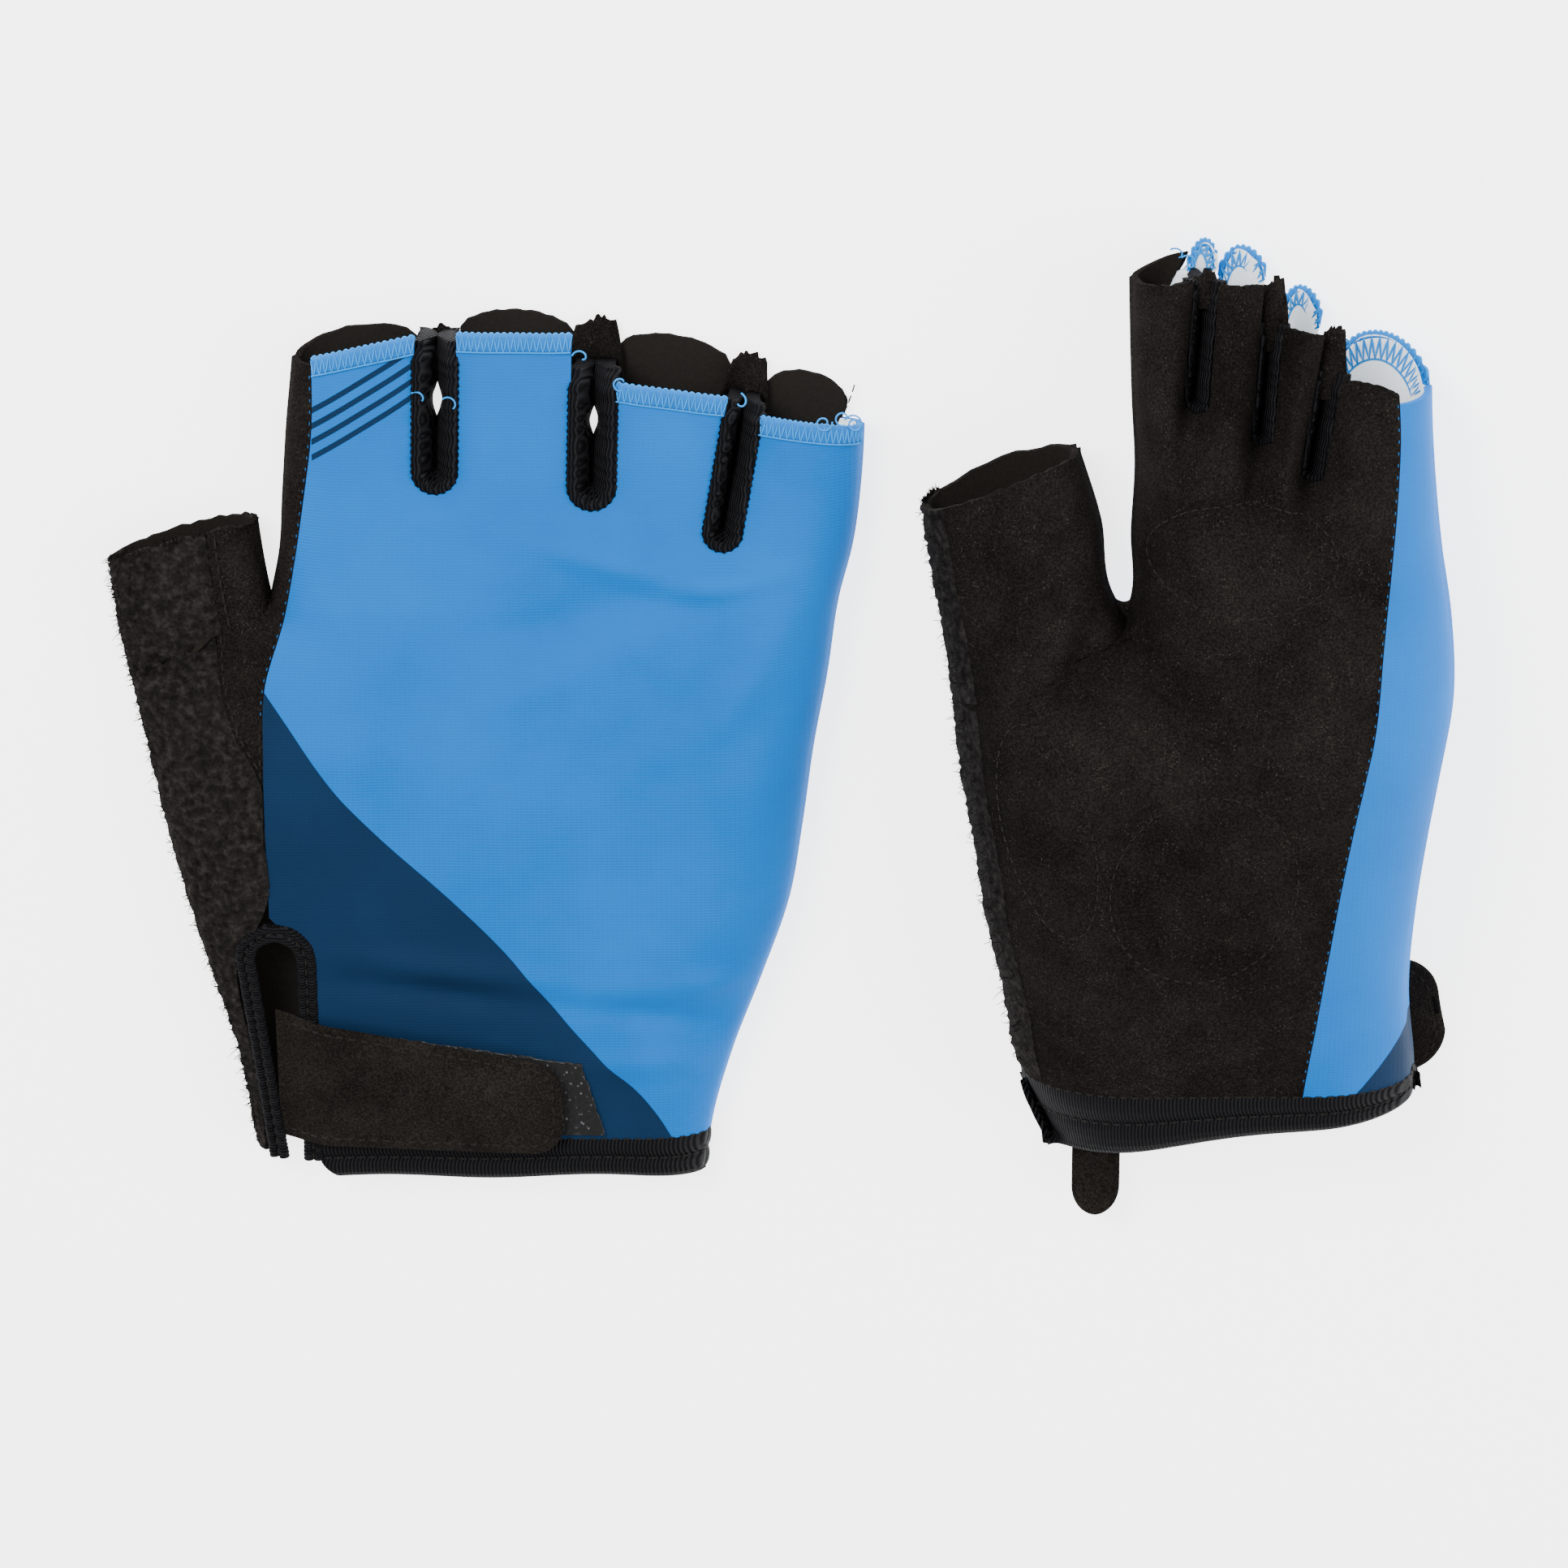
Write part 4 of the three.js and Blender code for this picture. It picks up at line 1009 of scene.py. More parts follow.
def make_side(mitt):
    side = mitt.name
    up = mitt.back_up
    y0, y1 = mitt.thumb_outer[0][1], mitt.thumb_inner[0][1]
    inner_line = FLEECE_INNER[side]
    top = inner_line[-1][1]
    rows = np.arange(-79 if side == "right" else -60, top, 0.9)
    left = np.where(rows < y0, line_at(mitt.side, rows), thumb_root(mitt, rows))
    right_x = np.maximum(line_at(inner_line, rows), left + 0.4)
    share = 1 - np.cos(np.linspace(0, math.pi / 2, 30))
    x = left[:, None] + (right_x - left)[:, None] * share
    y = np.repeat(rows[:, None], len(share), 1)
    z = mitt.fabric(up, x, y, NUB if up else 0.0)
    net = np.stack([x, y, z], -1)
    edge = net[:, :1].copy()
    on_side = (rows < y0)[:, None]
    edge[..., 2] = np.where(on_side, mitt.middle(edge[..., 0], edge[..., 1]), edge[..., 2])
    edge[..., 0] -= np.where(on_side, 0.6, 0.0)
    under_x = left[:, None] + np.linspace(TERRY_WRAP, 0.3, TERRY_TURN - 1) * (rows < y0 + 0.5)[:, None]
    under_y = np.repeat(rows[:, None], TERRY_TURN - 1, 1)
    under_z = mitt.fabric(not up, under_x, under_y, 0.0 if up else UNDER_NUB)
    under_z = np.where(on_side, under_z, edge[:, 0, 2:])
    net = terry_nubs(np.concatenate([np.stack([under_x, under_y, under_z], -1), edge, net], 1), up)
    fleece = net_object(f"{side}_side_terry", net, [M["fleece"], M["lining_dark"]], not up)
    join_sheet(fleece)
    thicken(fleece, CLOTH)
    finish_piece(fleece, f"{side}_hand", (f"{side}_side_fleece",))
    finish_piece(terry_fuzz(f"{side}_side_terry_fuzz", net, 900, 37), f"{side}_hand")
    y = np.arange(-2.0, top, 0.8)
    path = mitt.on(up, line_at(inner_line, y) + 0.9, y)
    finish_piece(stitched(f"{side}_web_stitches", M["seam_dark"], path, 0.3 if up else -0.3, 2.4, 1.2, 0.18),
                 f"{side}_hand")

    web_rows = np.arange(-3.0, y1 + 1.5, 0.8)
    web_left = line_at(inner_line, np.minimum(web_rows, top))
    web_left = np.where(web_rows > y0, np.maximum(web_left, thumb_root(mitt, web_rows)), web_left)
    web_right = line_at(mitt.back_seam, web_rows)
    web_left = np.minimum(web_left, web_right - 0.3)
    share = np.linspace(0, 1, 14)
    x = web_left[:, None] + (web_right - web_left)[:, None] * share
    y = np.repeat(web_rows[:, None], len(share), 1)
    web = net_object(f"{side}_web_suede", mitt.on(up, x, y), [M["suede"], M["lining_dark"]], not up)
    join_sheet(web)
    thicken(web, CLOTH)
    finish_piece(web, f"{side}_hand", (f"{side}_thumb_web",))


def make_crotch(mitt):
    """The corner between the thumb and the index finger is rounded, and its seam allowance rolled."""
    top, bottom, sag = mitt.crotch
    cy = mitt.thumb_inner[0][1]
    u = np.linspace(0, 1, 17)
    v = np.linspace(0, 1, 9)[:, None]
    rim = top - sag * (1 - (2 * u - 1) ** 2)
    y = cy - bottom + (rim + bottom) * v
    pts = np.array(mitt.thumb_inner, float)
    thumb_x = np.interp(y, pts[:, 1], pts[:, 0]) - 0.7
    index_x = line_at(mitt.index_side, y) + 0.7
    x = thumb_x + (index_x - thumb_x) * u
    z = mitt.middle(x, y) + 1.0
    net = np.stack([x, y, z], -1)
    web = net_object(f"{mitt.name}_crotch", net, [M["suede"]])
    thicken(web, 2.0)
    finish_piece(web, f"{mitt.name}_hand")
    path = net[-1] + [0, -0.3, -0.9]
    roll = Threads()
    roll.add(path, 0.15 + 0.6 * np.sin(u * math.pi) ** 1.5, 12, 1.3)
    finish_piece(roll.make(f"{mitt.name}_crotch_roll", M["suede"]), f"{mitt.name}_hand")


# ---------------------------------------------------------------- strips between the fingers

STRIP_STEP = 0.35      # spacing of points along a strip
# across the strip: how far into the slot as a share of its half width, the height it follows, what is added
STRIP_PROFILE = [(-0.2, "top", -0.8), (-0.17, "top", 0.1), (-0.03, "top", 0.75), (0.2, "top", 1.0),
                 (0.42, "top", 0.6), (0.56, "top", -0.5), (0.78, "top", -2.2), (1.12, "middle", 0.0),
                 (0.75, "bottom", 2.0), (0.4, "bottom", 0.4), (0.0, "bottom", 0.1),
                 (0.1, "bottom", 1.6), (0.12, "middle", 0.0), (0.06, "top", -2.2)]


def slot_path(gap, end_y, step):
    """Round the edge of a slot from one finger to the next, with the direction into the slot."""
    (tx, ty), (bx, by), width = gap
    r = width / 2
    lean = math.atan2(tx - bx, ty - by)
    along = np.array([math.sin(lean), math.cos(lean)])
    across = np.array([math.cos(lean), -math.sin(lean)])
    length = (end_y - by) / along[1]
    down = np.arange(length, 0, -step)
    points = [(np.array([bx, by]) - across * r + along * s, across) for s in down]
    for a in np.arange(0, math.pi, step / r):
        direction = -across * math.cos(a) - along * math.sin(a)
        points.append((np.array([bx, by]) + direction * r, -direction))
    points += [(np.array([bx, by]) + across * r + along * s, -across) for s in down[::-1]]
    return np.array([p for p, _ in points]), np.array([d for _, d in points])


def make_gussets(mitt):
    side = mitt.name
    for k, gap in enumerate(mitt.gaps):
        name = f"{FINGERS[k]}_{FINGERS[k + 1]}"
        path, inward = slot_path(gap, mitt.gusset_ends[k], STRIP_STEP)
        n = len(path)
        s = np.arange(n) * STRIP_STEP
        half_width = gap[2] / 2
        up_slot = path[:, 1] - gap[1][1]
        window = np.exp(-((up_slot / (mitt.gusset_ends[k] - gap[1][1]) - 0.5) / 0.13) ** 2)
        ease = mitt.slot_open[k] * window
        rng = np.random.default_rng(40 + k)
        pucker = 0.22 * np.sin(s * 2 * math.pi / 2.6 + 1.5 * np.sin(s * 0.7)) + 0.08 * rng.uniform(-1, 1, n)
        ribs = 0.07 * np.sin(s * 2 * math.pi / 0.75)
        top = mitt.fabric(True, path[:, 0], path[:, 1])
        bottom = mitt.fabric(False, path[:, 0], path[:, 1])
        level = dict(top=top, middle=(top + bottom) / 2, bottom=bottom)
        from_end = np.minimum(s, s[-1] - s)
        tucked = (2.4 if mitt.back_up else 1.0) * (1 - smooth(from_end, 0, 3.5))
        net = []
        for offset, where, lift in STRIP_PROFILE:
            closing = 1 - ease * smooth(np.array(offset), 0.5, 1.0)
            overcast = 0.16 * np.sin(s * 2 * math.pi / 1.25) if offset < 0 and mitt.back_up else 0.0
            under_cloth = 1.0 if mitt.back_up or offset > 0 else 4.0
            shift = offset * under_cloth * half_width * closing
            shift = shift + (pucker + ribs) * (1.0 - abs(offset)) * 0.9 + overcast
            xy = path + inward * shift[:, None]
            lowered = 0.0 if mitt.back_up or where != "top" else 1.6
            z = level[where] + lift - lowered + (pucker - tucked if where == "top" else 0)
            net.append(np.concatenate([xy, np.maximum(z, 0.05)[:, None]], 1))
        strip = bar_object(f"{side}_strip_{name}", np.stack(net, 1), M["satin"])
        finger_fold(strip, mitt, (f"{side}_gusset_{name}",))


def make_strip_ends(mitt):
    """Each strip ends in a cut flap of cloth between two fingertips."""
    side = mitt.name
    for k, (gap, top) in enumerate(zip(mitt.gaps, mitt.flap_tops)):
        (tx, ty), (bx, by), width = gap
        low = mitt.gusset_ends[k] - 5
        u = np.linspace(-1, 1, 15)
        v = np.linspace(0, 1, 12)
        rng = np.random.default_rng(90 + k)
        ragged = 0.5 * fine_noise(15, 95 + k) + 0.8 * np.sin(u * 2.5 + rng.uniform(0, 3))
        y = low + (top + ragged - low)[None, :] * v[:, None]
        centre = bx + (tx - bx) * (y - by) / (ty - by)
        x = centre + u[None, :] * (width / 2 + 0.9) * (1 - 0.35 * v[:, None] ** 2)
        inner = mitt.fabric(False, x, y) + CLOTH if mitt.back_up else mitt.fabric(True, x, y) - 2.5
        curl = (1.6 if mitt.back_up else -1.5) * (u[None, :] ** 2)
        z = inner + curl + 0.8 * np.sin(3 * v[:, None] + u[None, :])
        net = np.stack([x, y, np.maximum(z, 0.6)], -1)
        flap = net_object(f"{side}_strip_end_{FINGERS[k]}", net, [M["suede"]])
        thicken(flap, 0.7)
        finger_fold(flap, mitt)


# ---------------------------------------------------------------- fingertip hems

# round the hem: depth below the fingertip's edge, height over the cloth
HEM_PROFILE = [(3.1, 0.02), (2.9, 0.3), (1.5, 0.4), (0.3, 0.38), (-0.3, -0.1), (-0.25, -0.9), (0.4, -1.35),
               (0.8, -1.2), (0.6, -0.6), (2.8, -0.1)]


def make_hems(mitt):
    side = mitt.name
    up = mitt.back_up
    sign = 1 if up else -1
    lines = layer_lines(mitt, True)
    for k, finger in enumerate(FINGERS):
        share = np.linspace(0.0, 1.0, 120)
        tip = tip_height(mitt.back_tips, k, share, mitt.back_bow[k])
        fan = (2 * share - 1) * math.pi / 2 * mitt.dome

        def at(depth, lift):
            y = tip - depth * np.cos(fan)
            x0, x1 = finger_bounds(mitt, k, lines, y)
            x = x0 + (x1 - x0) * share + lean_out(mitt, k, y, tip) - depth * np.sin(fan)
            return np.stack([x, y, np.maximum(mitt.fabric(up, x, y) + sign * lift, 0.0)], 1)

        net = np.stack([at(d, lift) for d, lift in HEM_PROFILE], 1)
        band = bar_object(f"{side}_hem_band_{finger}", net, M["hem"])
        finger_fold(band, mitt, (f"{side}_hem_{finger}",))

        threads = Threads()
        thread, scallop = (0.22, 0.28) if mitt.dome else (0.16, 0.2)
        width = np.linalg.norm(np.diff(at(0.0, 0.4), axis=0), axis=1).sum()
        turns = max(6, int(width / (1.5 if mitt.dome else 1.15)))
        reach = min(4.6, 0.38 * (at(0.0, 0.0)[-1, 0] - at(0.0, 0.0)[0, 0]))
        for lift, deep, shallow in ((0.5, 2.9, 0.0), (-CLOTH - 0.25, 3.0 if up else reach, 0.1)):
            zig = []
            levels = {depth: at(depth, lift) for depth in (deep, shallow)}
            arc = np.concatenate([[0], np.cumsum(np.linalg.norm(np.diff(levels[shallow], axis=0), axis=1))])
            for step in range(turns * 2 + 1):
                depth = deep if step % 2 else shallow
                place = np.interp(arc[-1] * step / (turns * 2), arc, np.arange(len(arc)))
                zig.append([np.interp(place, np.arange(len(arc)), levels[depth][:, c]) for c in range(3)])
            threads.add(resample(zig, 3), thread, 5)
            threads.add(at(deep * 0.98, lift)[::2], thread, 5)
        waves = np.linspace(0, 2 * math.pi * turns, len(share))
        threads.add(at(scallop * np.cos(waves) - 0.25, -0.4), thread + 0.06)
        finger_fold(threads.make(f"{side}_hem_thread_{finger}", M["hem_thread"]), mitt)


def make_loose_threads(mitt):
    """Short curls of overlock thread left at the ends of the hems."""
    curls = Threads()
    for k, (x, y) in enumerate(mitt.loose):
        rng = np.random.default_rng(120 + k)
        t = np.linspace(0, 1, 26)
        turn = rng.uniform(0, 2 * math.pi) + t * rng.uniform(3, 9)
        radius = 0.5 + 1.1 * t
        z = mitt.fabric(mitt.back_up, np.array([x], float), np.array([y], float))[0]
        z += (0.3 if mitt.back_up else 1.6) + 0.9 * np.sin(3 * t)
        curls.add(np.stack([x + radius * np.cos(turn), y + radius * np.sin(turn), z], 1), 0.17, 5)
    finger_fold(curls.make(f"{mitt.name}_loose_threads", M["hem_thread"]), mitt)


def resample(points, parts):
    pts = np.array(points, float)
    t = np.linspace(0, len(pts) - 1, (len(pts) - 1) * parts + 1)
    return np.stack([np.interp(t, np.arange(len(pts)), pts[:, k]) for k in range(3)], 1)

# ---------------------------------------------------------------- wrist and slit bindings

WRIST_TURN = [(0.0, -1.9), (0.02, -0.9), (0.07, -0.1), (0.16, 0.45), (0.28, 0.6), (0.4, 0.4), (0.47, -0.05),
              (0.5, -0.12), (0.53, -0.05), (0.6, 0.4), (0.72, 0.6), (0.84, 0.45), (0.94, 0.05), (0.99, -0.4)]


def wrist_line(mitt, share, across):
    """Points of the wrist band at a share of its depth, across the mitt. Its lower edge rises to one side."""
    low, high = mitt.wrist_rows
    low = low + mitt.wrist_rise * across
    y = low + (high - low) * share
    x0, x1 = line_at(mitt.wrist_band[0], y), line_at(mitt.wrist_band[1], y)
    x = x0 + (x1 - x0) * across
    return x, y + 0.35 * np.sin(x * 0.16 + 1.0) * (1 - share)


def make_wrist(mitt):
    """Two fine ribs of folded elastic round the opening, with a stitch line in the valley between them."""
    side = mitt.name
    shares = np.interp(np.linspace(0, 1, 40), np.linspace(0, 1, len(WRIST_TURN)), [s for s, _ in WRIST_TURN])
    lifts = np.interp(shares, [s for s, _ in WRIST_TURN], [h for _, h in WRIST_TURN])
    across = 0.5 - 0.5 * np.cos(np.linspace(0, math.pi, 110))
    net = []
    for share, lift in zip(shares, lifts):
        x, y = wrist_line(mitt, share, across)
        over = mitt.on(True, x, y, lift)
        under = mitt.on(False, x, y, -lift, mitt.lowest)[::-1]
        end = over[-1:].copy()
        end[:, 2] = (over[-1, 2] + under[0, 2]) / 2
        end[:, 0] += 0.5 + max(lift, -0.4) * 0.5
        ring = [over, end, under]
        if mitt.wrist_closed:
            start = over[:1].copy()
            start[:, 2] = (over[0, 2] + under[-1, 2]) / 2
            start[:, 0] -= 0.5 + max(lift, -0.4) * 0.5
            ring.append(start)
        net.append(np.vstack(ring))
    band = net_object(f"{side}_wrist_band", np.array(net), [M["satin_wrist"]], ring=mitt.wrist_closed)
    thicken(band, 1.3)
    finish_piece(band, f"{side}_hand", (f"{side}_wrist_binding",))
    threads = Threads()
    for share in (0.5, 0.955):
        x, y = wrist_line(mitt, share, across)
        lift = np.interp(share, shares, lifts)
        threads.stitch_line(mitt.on(True, x, y, lift), 0.22, 2.1, 1.5, 0.15)
    finish_piece(threads.make(f"{side}_wrist_stitches", M["seam_dark"]), f"{side}_hand")


def slit_path(mitt, inset, step):
    """Up one leg of the wrist slit, round its head and down the other leg, inset from its outer edge."""
    cx, cy, radius = mitt.slit
    r = radius - inset
    (ax, _), (bx, foot) = mitt.slit_legs
    left = [(cx - r + (ax + inset - cx + r) * s, cy + (foot - cy) * s)
            for s in np.linspace(1, 0, int((cy - foot) / step))]
    head = [(cx - r * math.cos(a), cy + r * math.sin(a))
            for a in np.linspace(0, math.pi, int(math.pi * r / step))]
    right_leg = [(cx + r + (bx - inset - cx - r) * s, cy + (foot - cy) * s)
                 for s in np.linspace(0, 1, int((cy - foot) / step))]
    return np.array(left + head[1:-1] + right_leg)


def make_slit(mitt):
    side = mitt.name
    up = mitt.back_up
    sign = 1 if up else -1
    pipes = Threads()
    for inset, radius in ((0.95, 1.0), (2.75, 0.95)):
        path = mitt.on(up, *slit_path(mitt, inset, 0.2).T, -sign * 0.25, mitt.lowest_slit + radius)
        s = np.arange(len(path))
        swell = radius * (1 + 0.07 * np.sin(s * 1.6) + 0.04 * np.sin(s * 0.31))
        pipes.add(path, swell, 12)
    piping = pipes.make(f"{side}_slit_piping", M["satin_slit"])
    finish_piece(piping, f"{side}_hand", (f"{side}_slit_binding",))
    path = mitt.on(up, *slit_path(mitt, 1.85, 0.7).T, sign * 0.25, mitt.lowest_slit + 0.3)
    finish_piece(stitched(f"{side}_slit_stitches", M["seam_dark"], path, 0.2 * sign, 2.0, 1.4, 0.16),
                 f"{side}_hand")


# ---------------------------------------------------------------- closure tabs and their patches


def tab_net(root, tip, corner, rows=46, columns=90):
    """Net over a tab: u runs from its root to its rounded tip, v across it."""
    (rx, r0), (_, r1) = root
    (tx0, t0), (tx1, t1) = tip
    tip_turn = np.sin(np.linspace(0, math.pi / 2, columns // 2))[1:]
    u = np.concatenate([np.linspace(0, 0.85, columns // 2), 0.85 + 0.15 * tip_turn])
    v = np.concatenate([[0, 0.012, 0.03], np.linspace(0.06, 0.94, rows), [0.97, 0.988, 1]])
    length = abs((tx0 + tx1) / 2 - rx)
    from_end = (1 - u) * length
    pull = corner - np.sqrt(np.clip(corner**2 - np.clip(corner - from_end, 0, None) ** 2, 0, None))
    low = r0 + (t0 - r0) * u
    high = r1 + (t1 - r1) * u
    inset = pull * (1 if high[0] > low[0] else -1)
    low, high = low + inset, high - inset
    y = low[None, :] + (high - low)[None, :] * v[:, None]
    end_x = tx0 + (tx1 - tx0) * v
    x = rx + (end_x[:, None] - rx) * u[None, :]
    edge = np.minimum(np.abs(y - low[None, :]), np.abs(high[None, :] - y))
    edge = np.minimum(edge, from_end[None, :] + 0.15)
    return x, y, edge


def inset_path(root, tip, corner, inset, points=160):
    """Stitch path a little inside a tab's edge: along one long side, round the tip and back."""
    (rx, r0), (_, r1) = root
    (tx0, t0), (tx1, t1) = tip
    sign = 1 if tx0 > rx else -1
    lean_low, lean_high = (t0 - r0) / (tx0 - rx), (t1 - r1) / (tx1 - rx)
    grow = 1 if r1 > r0 else -1
    r = corner - inset
    a = np.array([rx + sign * 1.5, r0 + grow * inset])
    ca = np.array([tx0 - sign * corner, t0 - lean_low * sign * corner + grow * corner])
    cb = np.array([tx1 - sign * corner, t1 - lean_high * sign * corner - grow * corner])
    b = np.array([rx + sign * 1.5, r1 - grow * inset])
    turn = np.linspace(-math.pi / 2, 0, 12)
    first = [ca + r * np.array([sign * math.cos(t), grow * math.sin(t)]) for t in turn]
    second = [cb + r * np.array([sign * math.cos(t), -grow * math.sin(t)]) for t in turn[::-1]]
    corners = np.array([a, *first, *second, b])
    steps = np.concatenate([[0], np.cumsum(np.linalg.norm(np.diff(corners, axis=0), axis=1))])
    s = np.linspace(0, steps[-1], points)
    return np.stack([np.interp(s, steps, corners[:, k]) for k in (0, 1)], 1)


def rounded_edge(edge):
    """How far suede drops towards its cut edge."""
    return EDGE_DROP * (1 - np.sqrt(1 - (1 - np.clip(edge / EDGE_WIDTH, 0, 1)) ** 2))


def make_tab(name, outline, height, body, base, replaced, thickness):
    """A suede tab on its closure: height gives the outer face over the table."""
    x, y, edge = tab_net(**outline)
    stitch = inset_path(**outline, inset=TAB_INSET)
    up = 1 if thickness > 0 else -1
    z = height(x, y) - up * rounded_edge(edge) + 0.1 * wave_noise(x, y, 71, 3.0)
    tab = net_object(name, np.stack([x, y, z], -1), [M["suede_tab"]])
    face_towards(tab, up)
    thicken(tab, abs(thickness))
    finish_piece(tab, base, replaced, body)
    path = np.column_stack([stitch, height(*stitch.T) - up * 0.12])
    stitches = stitched(name + "_stitches", M["seam_dark"], path, 0.16 * up, 2.3, 1.7, 0.17)
    finish_piece(stitches, base, (), body)


def make_patch(name, corners, height, thickness, material, body, replaced, fuzz=0.0):
    """A four-sided patch of hook or loop tape. corners go round; height is its outer face."""
    a, b, c, d = (np.array(p, float) for p in corners)
    u, v = np.meshgrid(np.linspace(0, 1, 60), np.linspace(0, 1, 34))
    u, v = u[..., None], v[..., None]
    p = (a * (1 - u) + b * u) * (1 - v) + (d * (1 - u) + c * u) * v
    z = height(p[..., 0], p[..., 1]) + fuzz * fine_noise(p.shape[:2], 81)
    patch = net_object(name, np.concatenate([p, z[..., None]], -1), [material])
    face_towards(patch, thickness)
    thicken(patch, abs(thickness))
    finish_piece(patch, body, replaced)


RIGHT_TAB = dict(root=[(-95, -75.5), (-95, -49.5)], tip=[(-42, -77.8), (-42, -59.5)], corner=6)
LEFT_TAB = dict(root=[(64, -69), (64, -46)], tip=[(123, -66), (121.5, -43.5)], corner=8)


def over_right(lift):
    """A face over the right mitt's back, smoothed so it bridges the small dips under it."""
    return lambda x, y: right.face(True, x, y) + lift


def make_right_closure():
    def tab_face(x, y):
        """From its sewn root the tab rises to lie over both tapes."""
        return right.face(True, x, y) - 0.3 + 4.05 * smooth(x, -95, -85)

    make_tab("right_tab", RIGHT_TAB, tab_face, "right_tab", "right_hand", ("right_closure_tab",), 1.5)
    make_patch("right_loop_tape", [(-72, -74.5), (-34.4, -74.5), (-38.6, -60.3), (-72, -55)], over_right(1.2),
               0.9, M["loop"], "right_hand", ("right_loop_patch",), 0.12)
    make_patch("right_hook_tape", [(-66, -73), (-44.5, -73), (-44.5, -63), (-66, -58.5)], over_right(1.75),
               -0.6, M["hook"], "right_tab", ("right_hook_patch",), 0.05)


def flat(height):
    return lambda x, y: np.full_like(x, height)


def make_left_closure():
    make_tab("left_tab", LEFT_TAB, flat(1.5), "left_tab", "left_hand", ("left_closure_tab",), 1.3)
    make_patch("left_hook_tape", [(78, -65), (112, -63), (112, -48), (78, -49)], flat(2.7), 1.0, M["hook"],
               "left_tab", ("left_hook_patch",), 0.05)
    make_patch("left_loop_tape", [(70, -59), (94, -59), (94, -47), (70, -47)], flat(3.3), -0.9, M["loop"],
               "left_hand", ("left_loop_patch",), 0.1)
    v = np.linspace(-1, 1, 25)
    s = np.concatenate([np.linspace(0, 0.7, 24), 0.7 + 0.3 * np.sin(np.linspace(0, math.pi / 2, 22))[1:]])
    half = 4.5 * np.sqrt(1 - np.clip((s - 0.7) / 0.3, 0, 1) ** 2)
    x = 57.5 + v[None, :] * half[:, None]
    y = np.repeat((-72.0 - 20.6 * s)[:, None], len(v), 1)
    edge = half[:, None] * (1 - np.abs(v))[None, :]
    curl = 0.5 * np.sin(s * 3.0)[:, None] * smooth(s, 0.2, 1.0)[:, None] * (v**2)[None, :]
    z = 8.2 - rounded_edge(edge) + curl
    tongue = net_object("left_tongue", np.stack([x, y, z], -1), [M["suede_tab"]], True)
    join_sheet(tongue)
    face_towards(tongue, 1)
    thicken(tongue, 1.3)
    finish_piece(tongue, "left_hand", ("left_slit_tongue",))


# ---------------------------------------------------------------- pads inside the palm


# rings of a pad from its top to its bottom: share of its outline, share of its half height
PAD_PROFILE = [(0.02, 1.0), (0.5, 0.95), (0.85, 0.7), (0.98, 0.25), (0.98, -0.25), (0.85, -0.7), (0.5, -0.95),
               (0.02, -1.0)]
PAD_INSIDE = 3.2       # a pad's middle lies this far inside the palm
PAD_HALF = 1.3         # half its height


def ellipse_points(pad, scale, count):
    px, py, rx, ry, turn = pad
    a = math.radians(turn)
    t = np.linspace(0, 2 * math.pi, count, endpoint=False)
    u, v = rx * scale * np.cos(t), ry * scale * np.sin(t)
    return np.stack([px + u * math.cos(a) - v * math.sin(a), py + u * math.sin(a) + v * math.cos(a)], 1)


def make_pads(mitt):
    side = mitt.name
    palm_up = not mitt.back_up
    for key, pad in mitt.pads.items():
        net = []
        inside = -PAD_INSIDE if palm_up else PAD_INSIDE
        for scale, height in PAD_PROFILE:
            ring = ellipse_points(pad, scale * 0.96, 48)
            net.append(mitt.on(palm_up, *ring.T, inside + height * PAD_HALF))
        obj = bar_object(f"{side}_{key}_foam", np.array(net), M["foam"])
        if key == "knuckle":
            finger_fold(obj, mitt, (f"{side}_{key}_pad",))
        else:
            finish_piece(obj, f"{side}_hand", (f"{side}_{key}_pad",))


# ---------------------------------------------------------------- seam stitches


def along_line(line, y0, y1, step=0.8):
    y = np.arange(y0, y1, step)
    return line_at(line, y), y


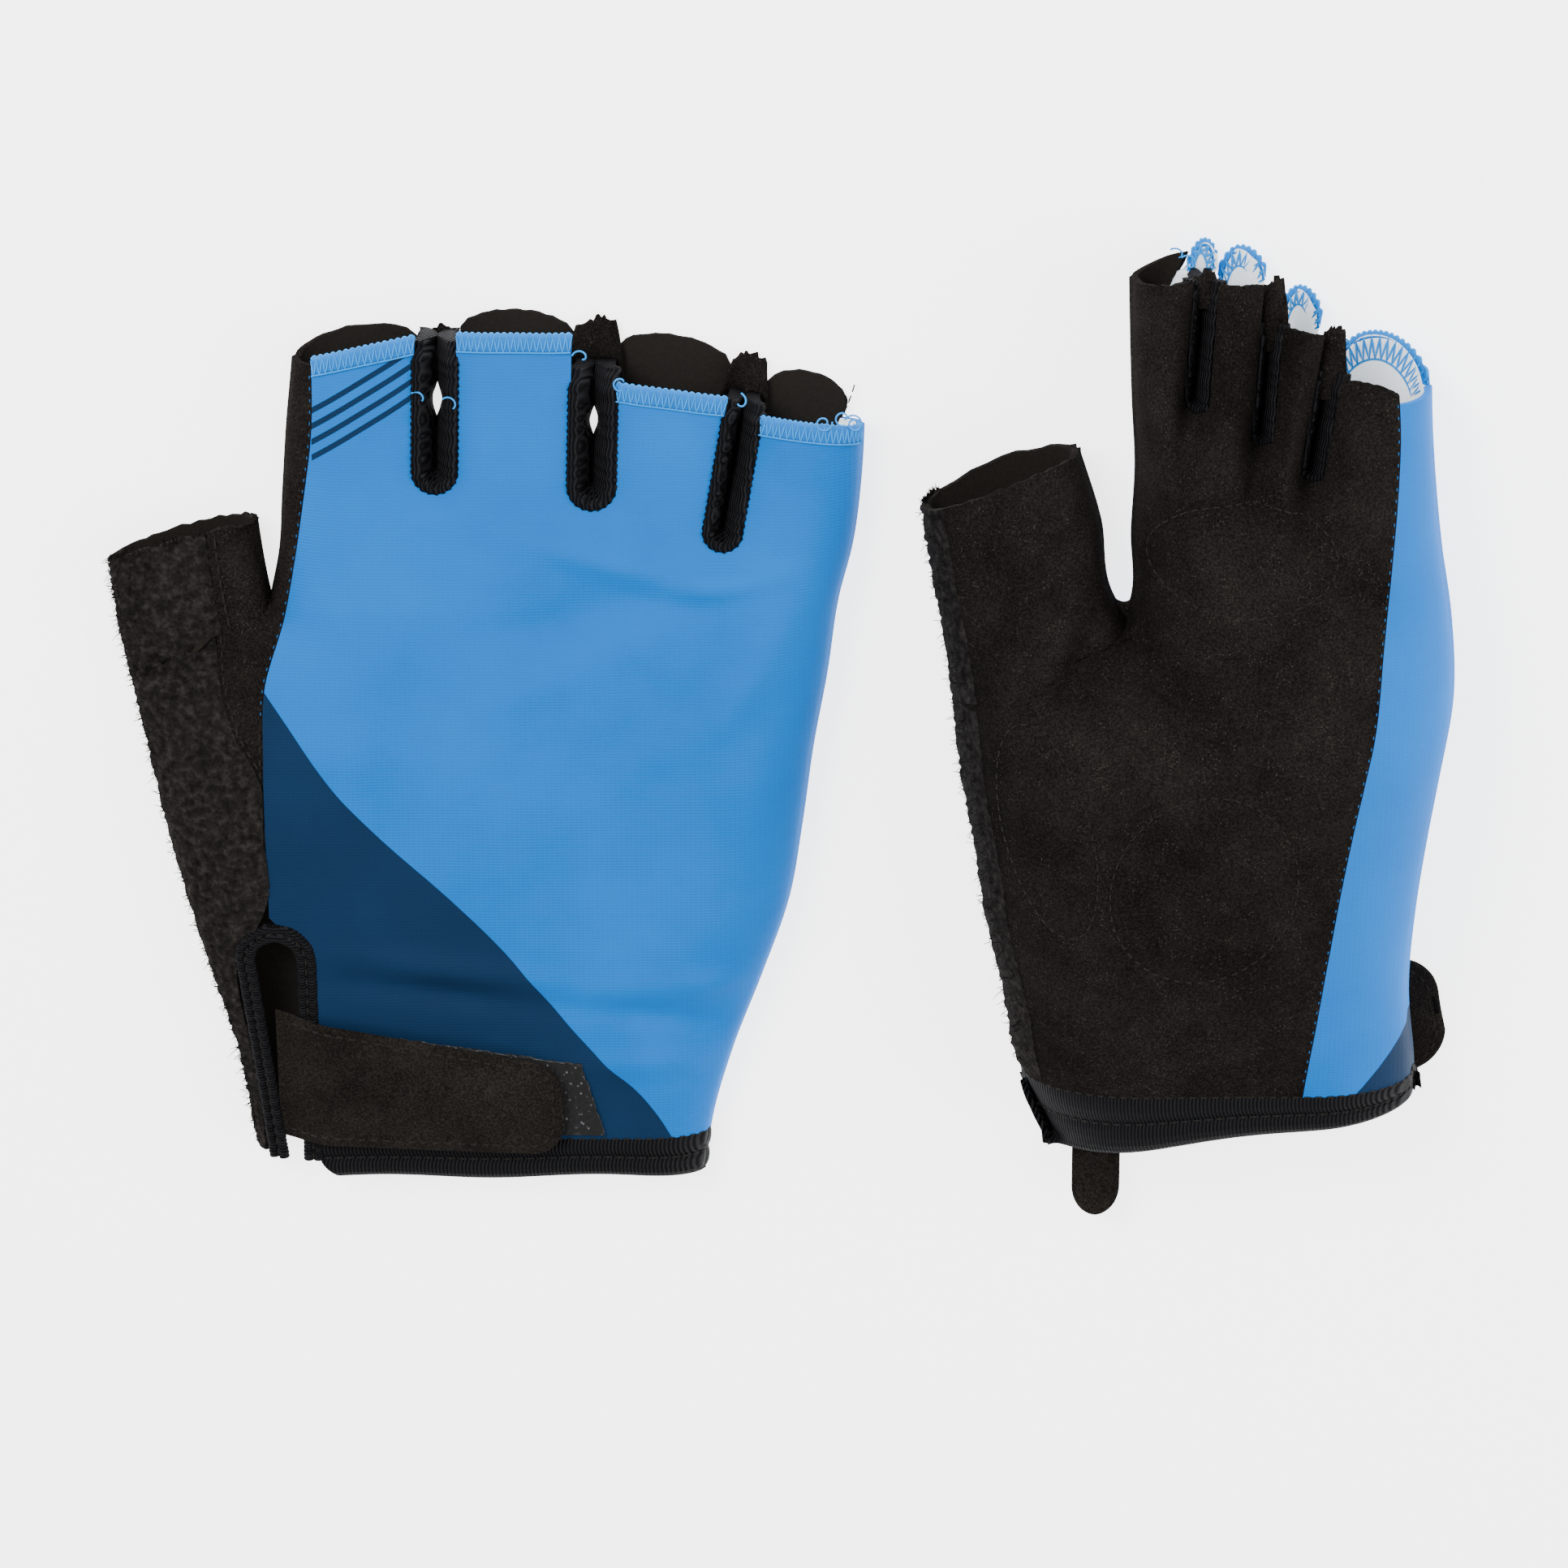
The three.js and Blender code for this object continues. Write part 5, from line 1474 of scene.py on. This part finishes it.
def make_seams(mitt):
    side = mitt.name
    up = mitt.back_up
    over, under = (mitt.back_seam, mitt.palm_seam) if up else (mitt.palm_seam, mitt.back_seam)
    x, y = along_line(over, *((8, 72) if up else (-58, 70)))
    path = mitt.on(True, x - 0.4, y)
    blue = stitched(f"{side}_side_seam_stitches", M["seam_blue"], path, 0.08, 2.1, 0.6, 0.11)
    finger_fold(blue, mitt)
    dark = Threads()
    x, y = along_line(under, -70 if up else -38, 68)
    dark.stitch_line(mitt.on(False, x, y, 0.0, 0.15), -0.1, 2.2, 1.35, 0.15)
    if up:
        x, y = along_line(over, -28, 8)
        dark.stitch_line(mitt.on(True, x - 0.6, y), 0.25, 2.4, 1.3, 0.16)
    finger_fold(dark.make(f"{side}_lower_seam_stitches", M["seam_dark"]), mitt)
    outline = Threads()
    for pad in mitt.pads.values():
        ring = ellipse_points(pad, 1.03, 200)
        ring = np.vstack([ring, ring[:1]])
        outline.stitch_line(mitt.on(not up, *ring.T, 0.0, 0.12), -0.08 if up else 0.22, 2.1, 1.5, 0.15)
    finger_fold(outline.make(f"{side}_pad_stitches", M["seam_dark"]), mitt)


for mitt in MITTS:
    make_layers(mitt)
    make_thumb(mitt)
    make_side(mitt)
    make_gussets(mitt)
    make_strip_ends(mitt)
    make_hems(mitt)
    make_loose_threads(mitt)
    make_crotch(mitt)
    make_wrist(mitt)
    make_slit(mitt)
    make_pads(mitt)
    make_seams(mitt)
make_right_closure()
make_left_closure()

# ---------------------------------------------------------------- table, light and camera


def area_light(name, location, size, power):
    light = bpy.data.lights.new(name, "AREA")
    light.shape = "SQUARE"
    light.size = size
    light.energy = power
    obj = bpy.data.objects.new(name, light)
    obj.location = location
    obj.rotation_euler = Vector(location).to_track_quat("Z", "Y").to_euler()
    bpy.context.scene.collection.objects.link(obj)


def make_floor():
    material = bpy.data.materials.new("table")
    material.use_nodes = True
    shader = material.node_tree.nodes["Principled BSDF"]
    shader.inputs["Base Color"].default_value = (TABLE_TONE, TABLE_TONE, TABLE_TONE, 1)
    shader.inputs["Roughness"].default_value = 0.9
    shader.inputs["Emission Color"].default_value = (1, 1, 1, 1)
    shader.inputs["Emission Strength"].default_value = TABLE_GLOW
    corners = [(x * TABLE_HALF, y * TABLE_HALF, -TABLE_DROP) for x, y in ((-1, -1), (1, -1), (1, 1), (-1, 1))]
    floor = new_object("table", corners, [(0, 1, 2, 3)], [material], False)


make_floor()
for light in LIGHTS:
    area_light(*light)

world = bpy.data.worlds.new("studio")
world.use_nodes = True
world.node_tree.nodes["Background"].inputs["Color"].default_value = (1, 1, 1, 1)
world.node_tree.nodes["Background"].inputs["Strength"].default_value = SKY
bpy.context.scene.world = world

camera_data = bpy.data.cameras.new("camera")
camera_data.lens = LENS
camera_data.sensor_width = 36
camera = bpy.data.objects.new("camera", camera_data)
offset = Vector((0.0, math.sin(TILT), math.cos(TILT))) * CAMERA_FAR
camera.location = Vector(AIM) + offset
camera.rotation_euler = (-TILT, 0, 0)
bpy.context.scene.collection.objects.link(camera)
bpy.context.scene.camera = camera
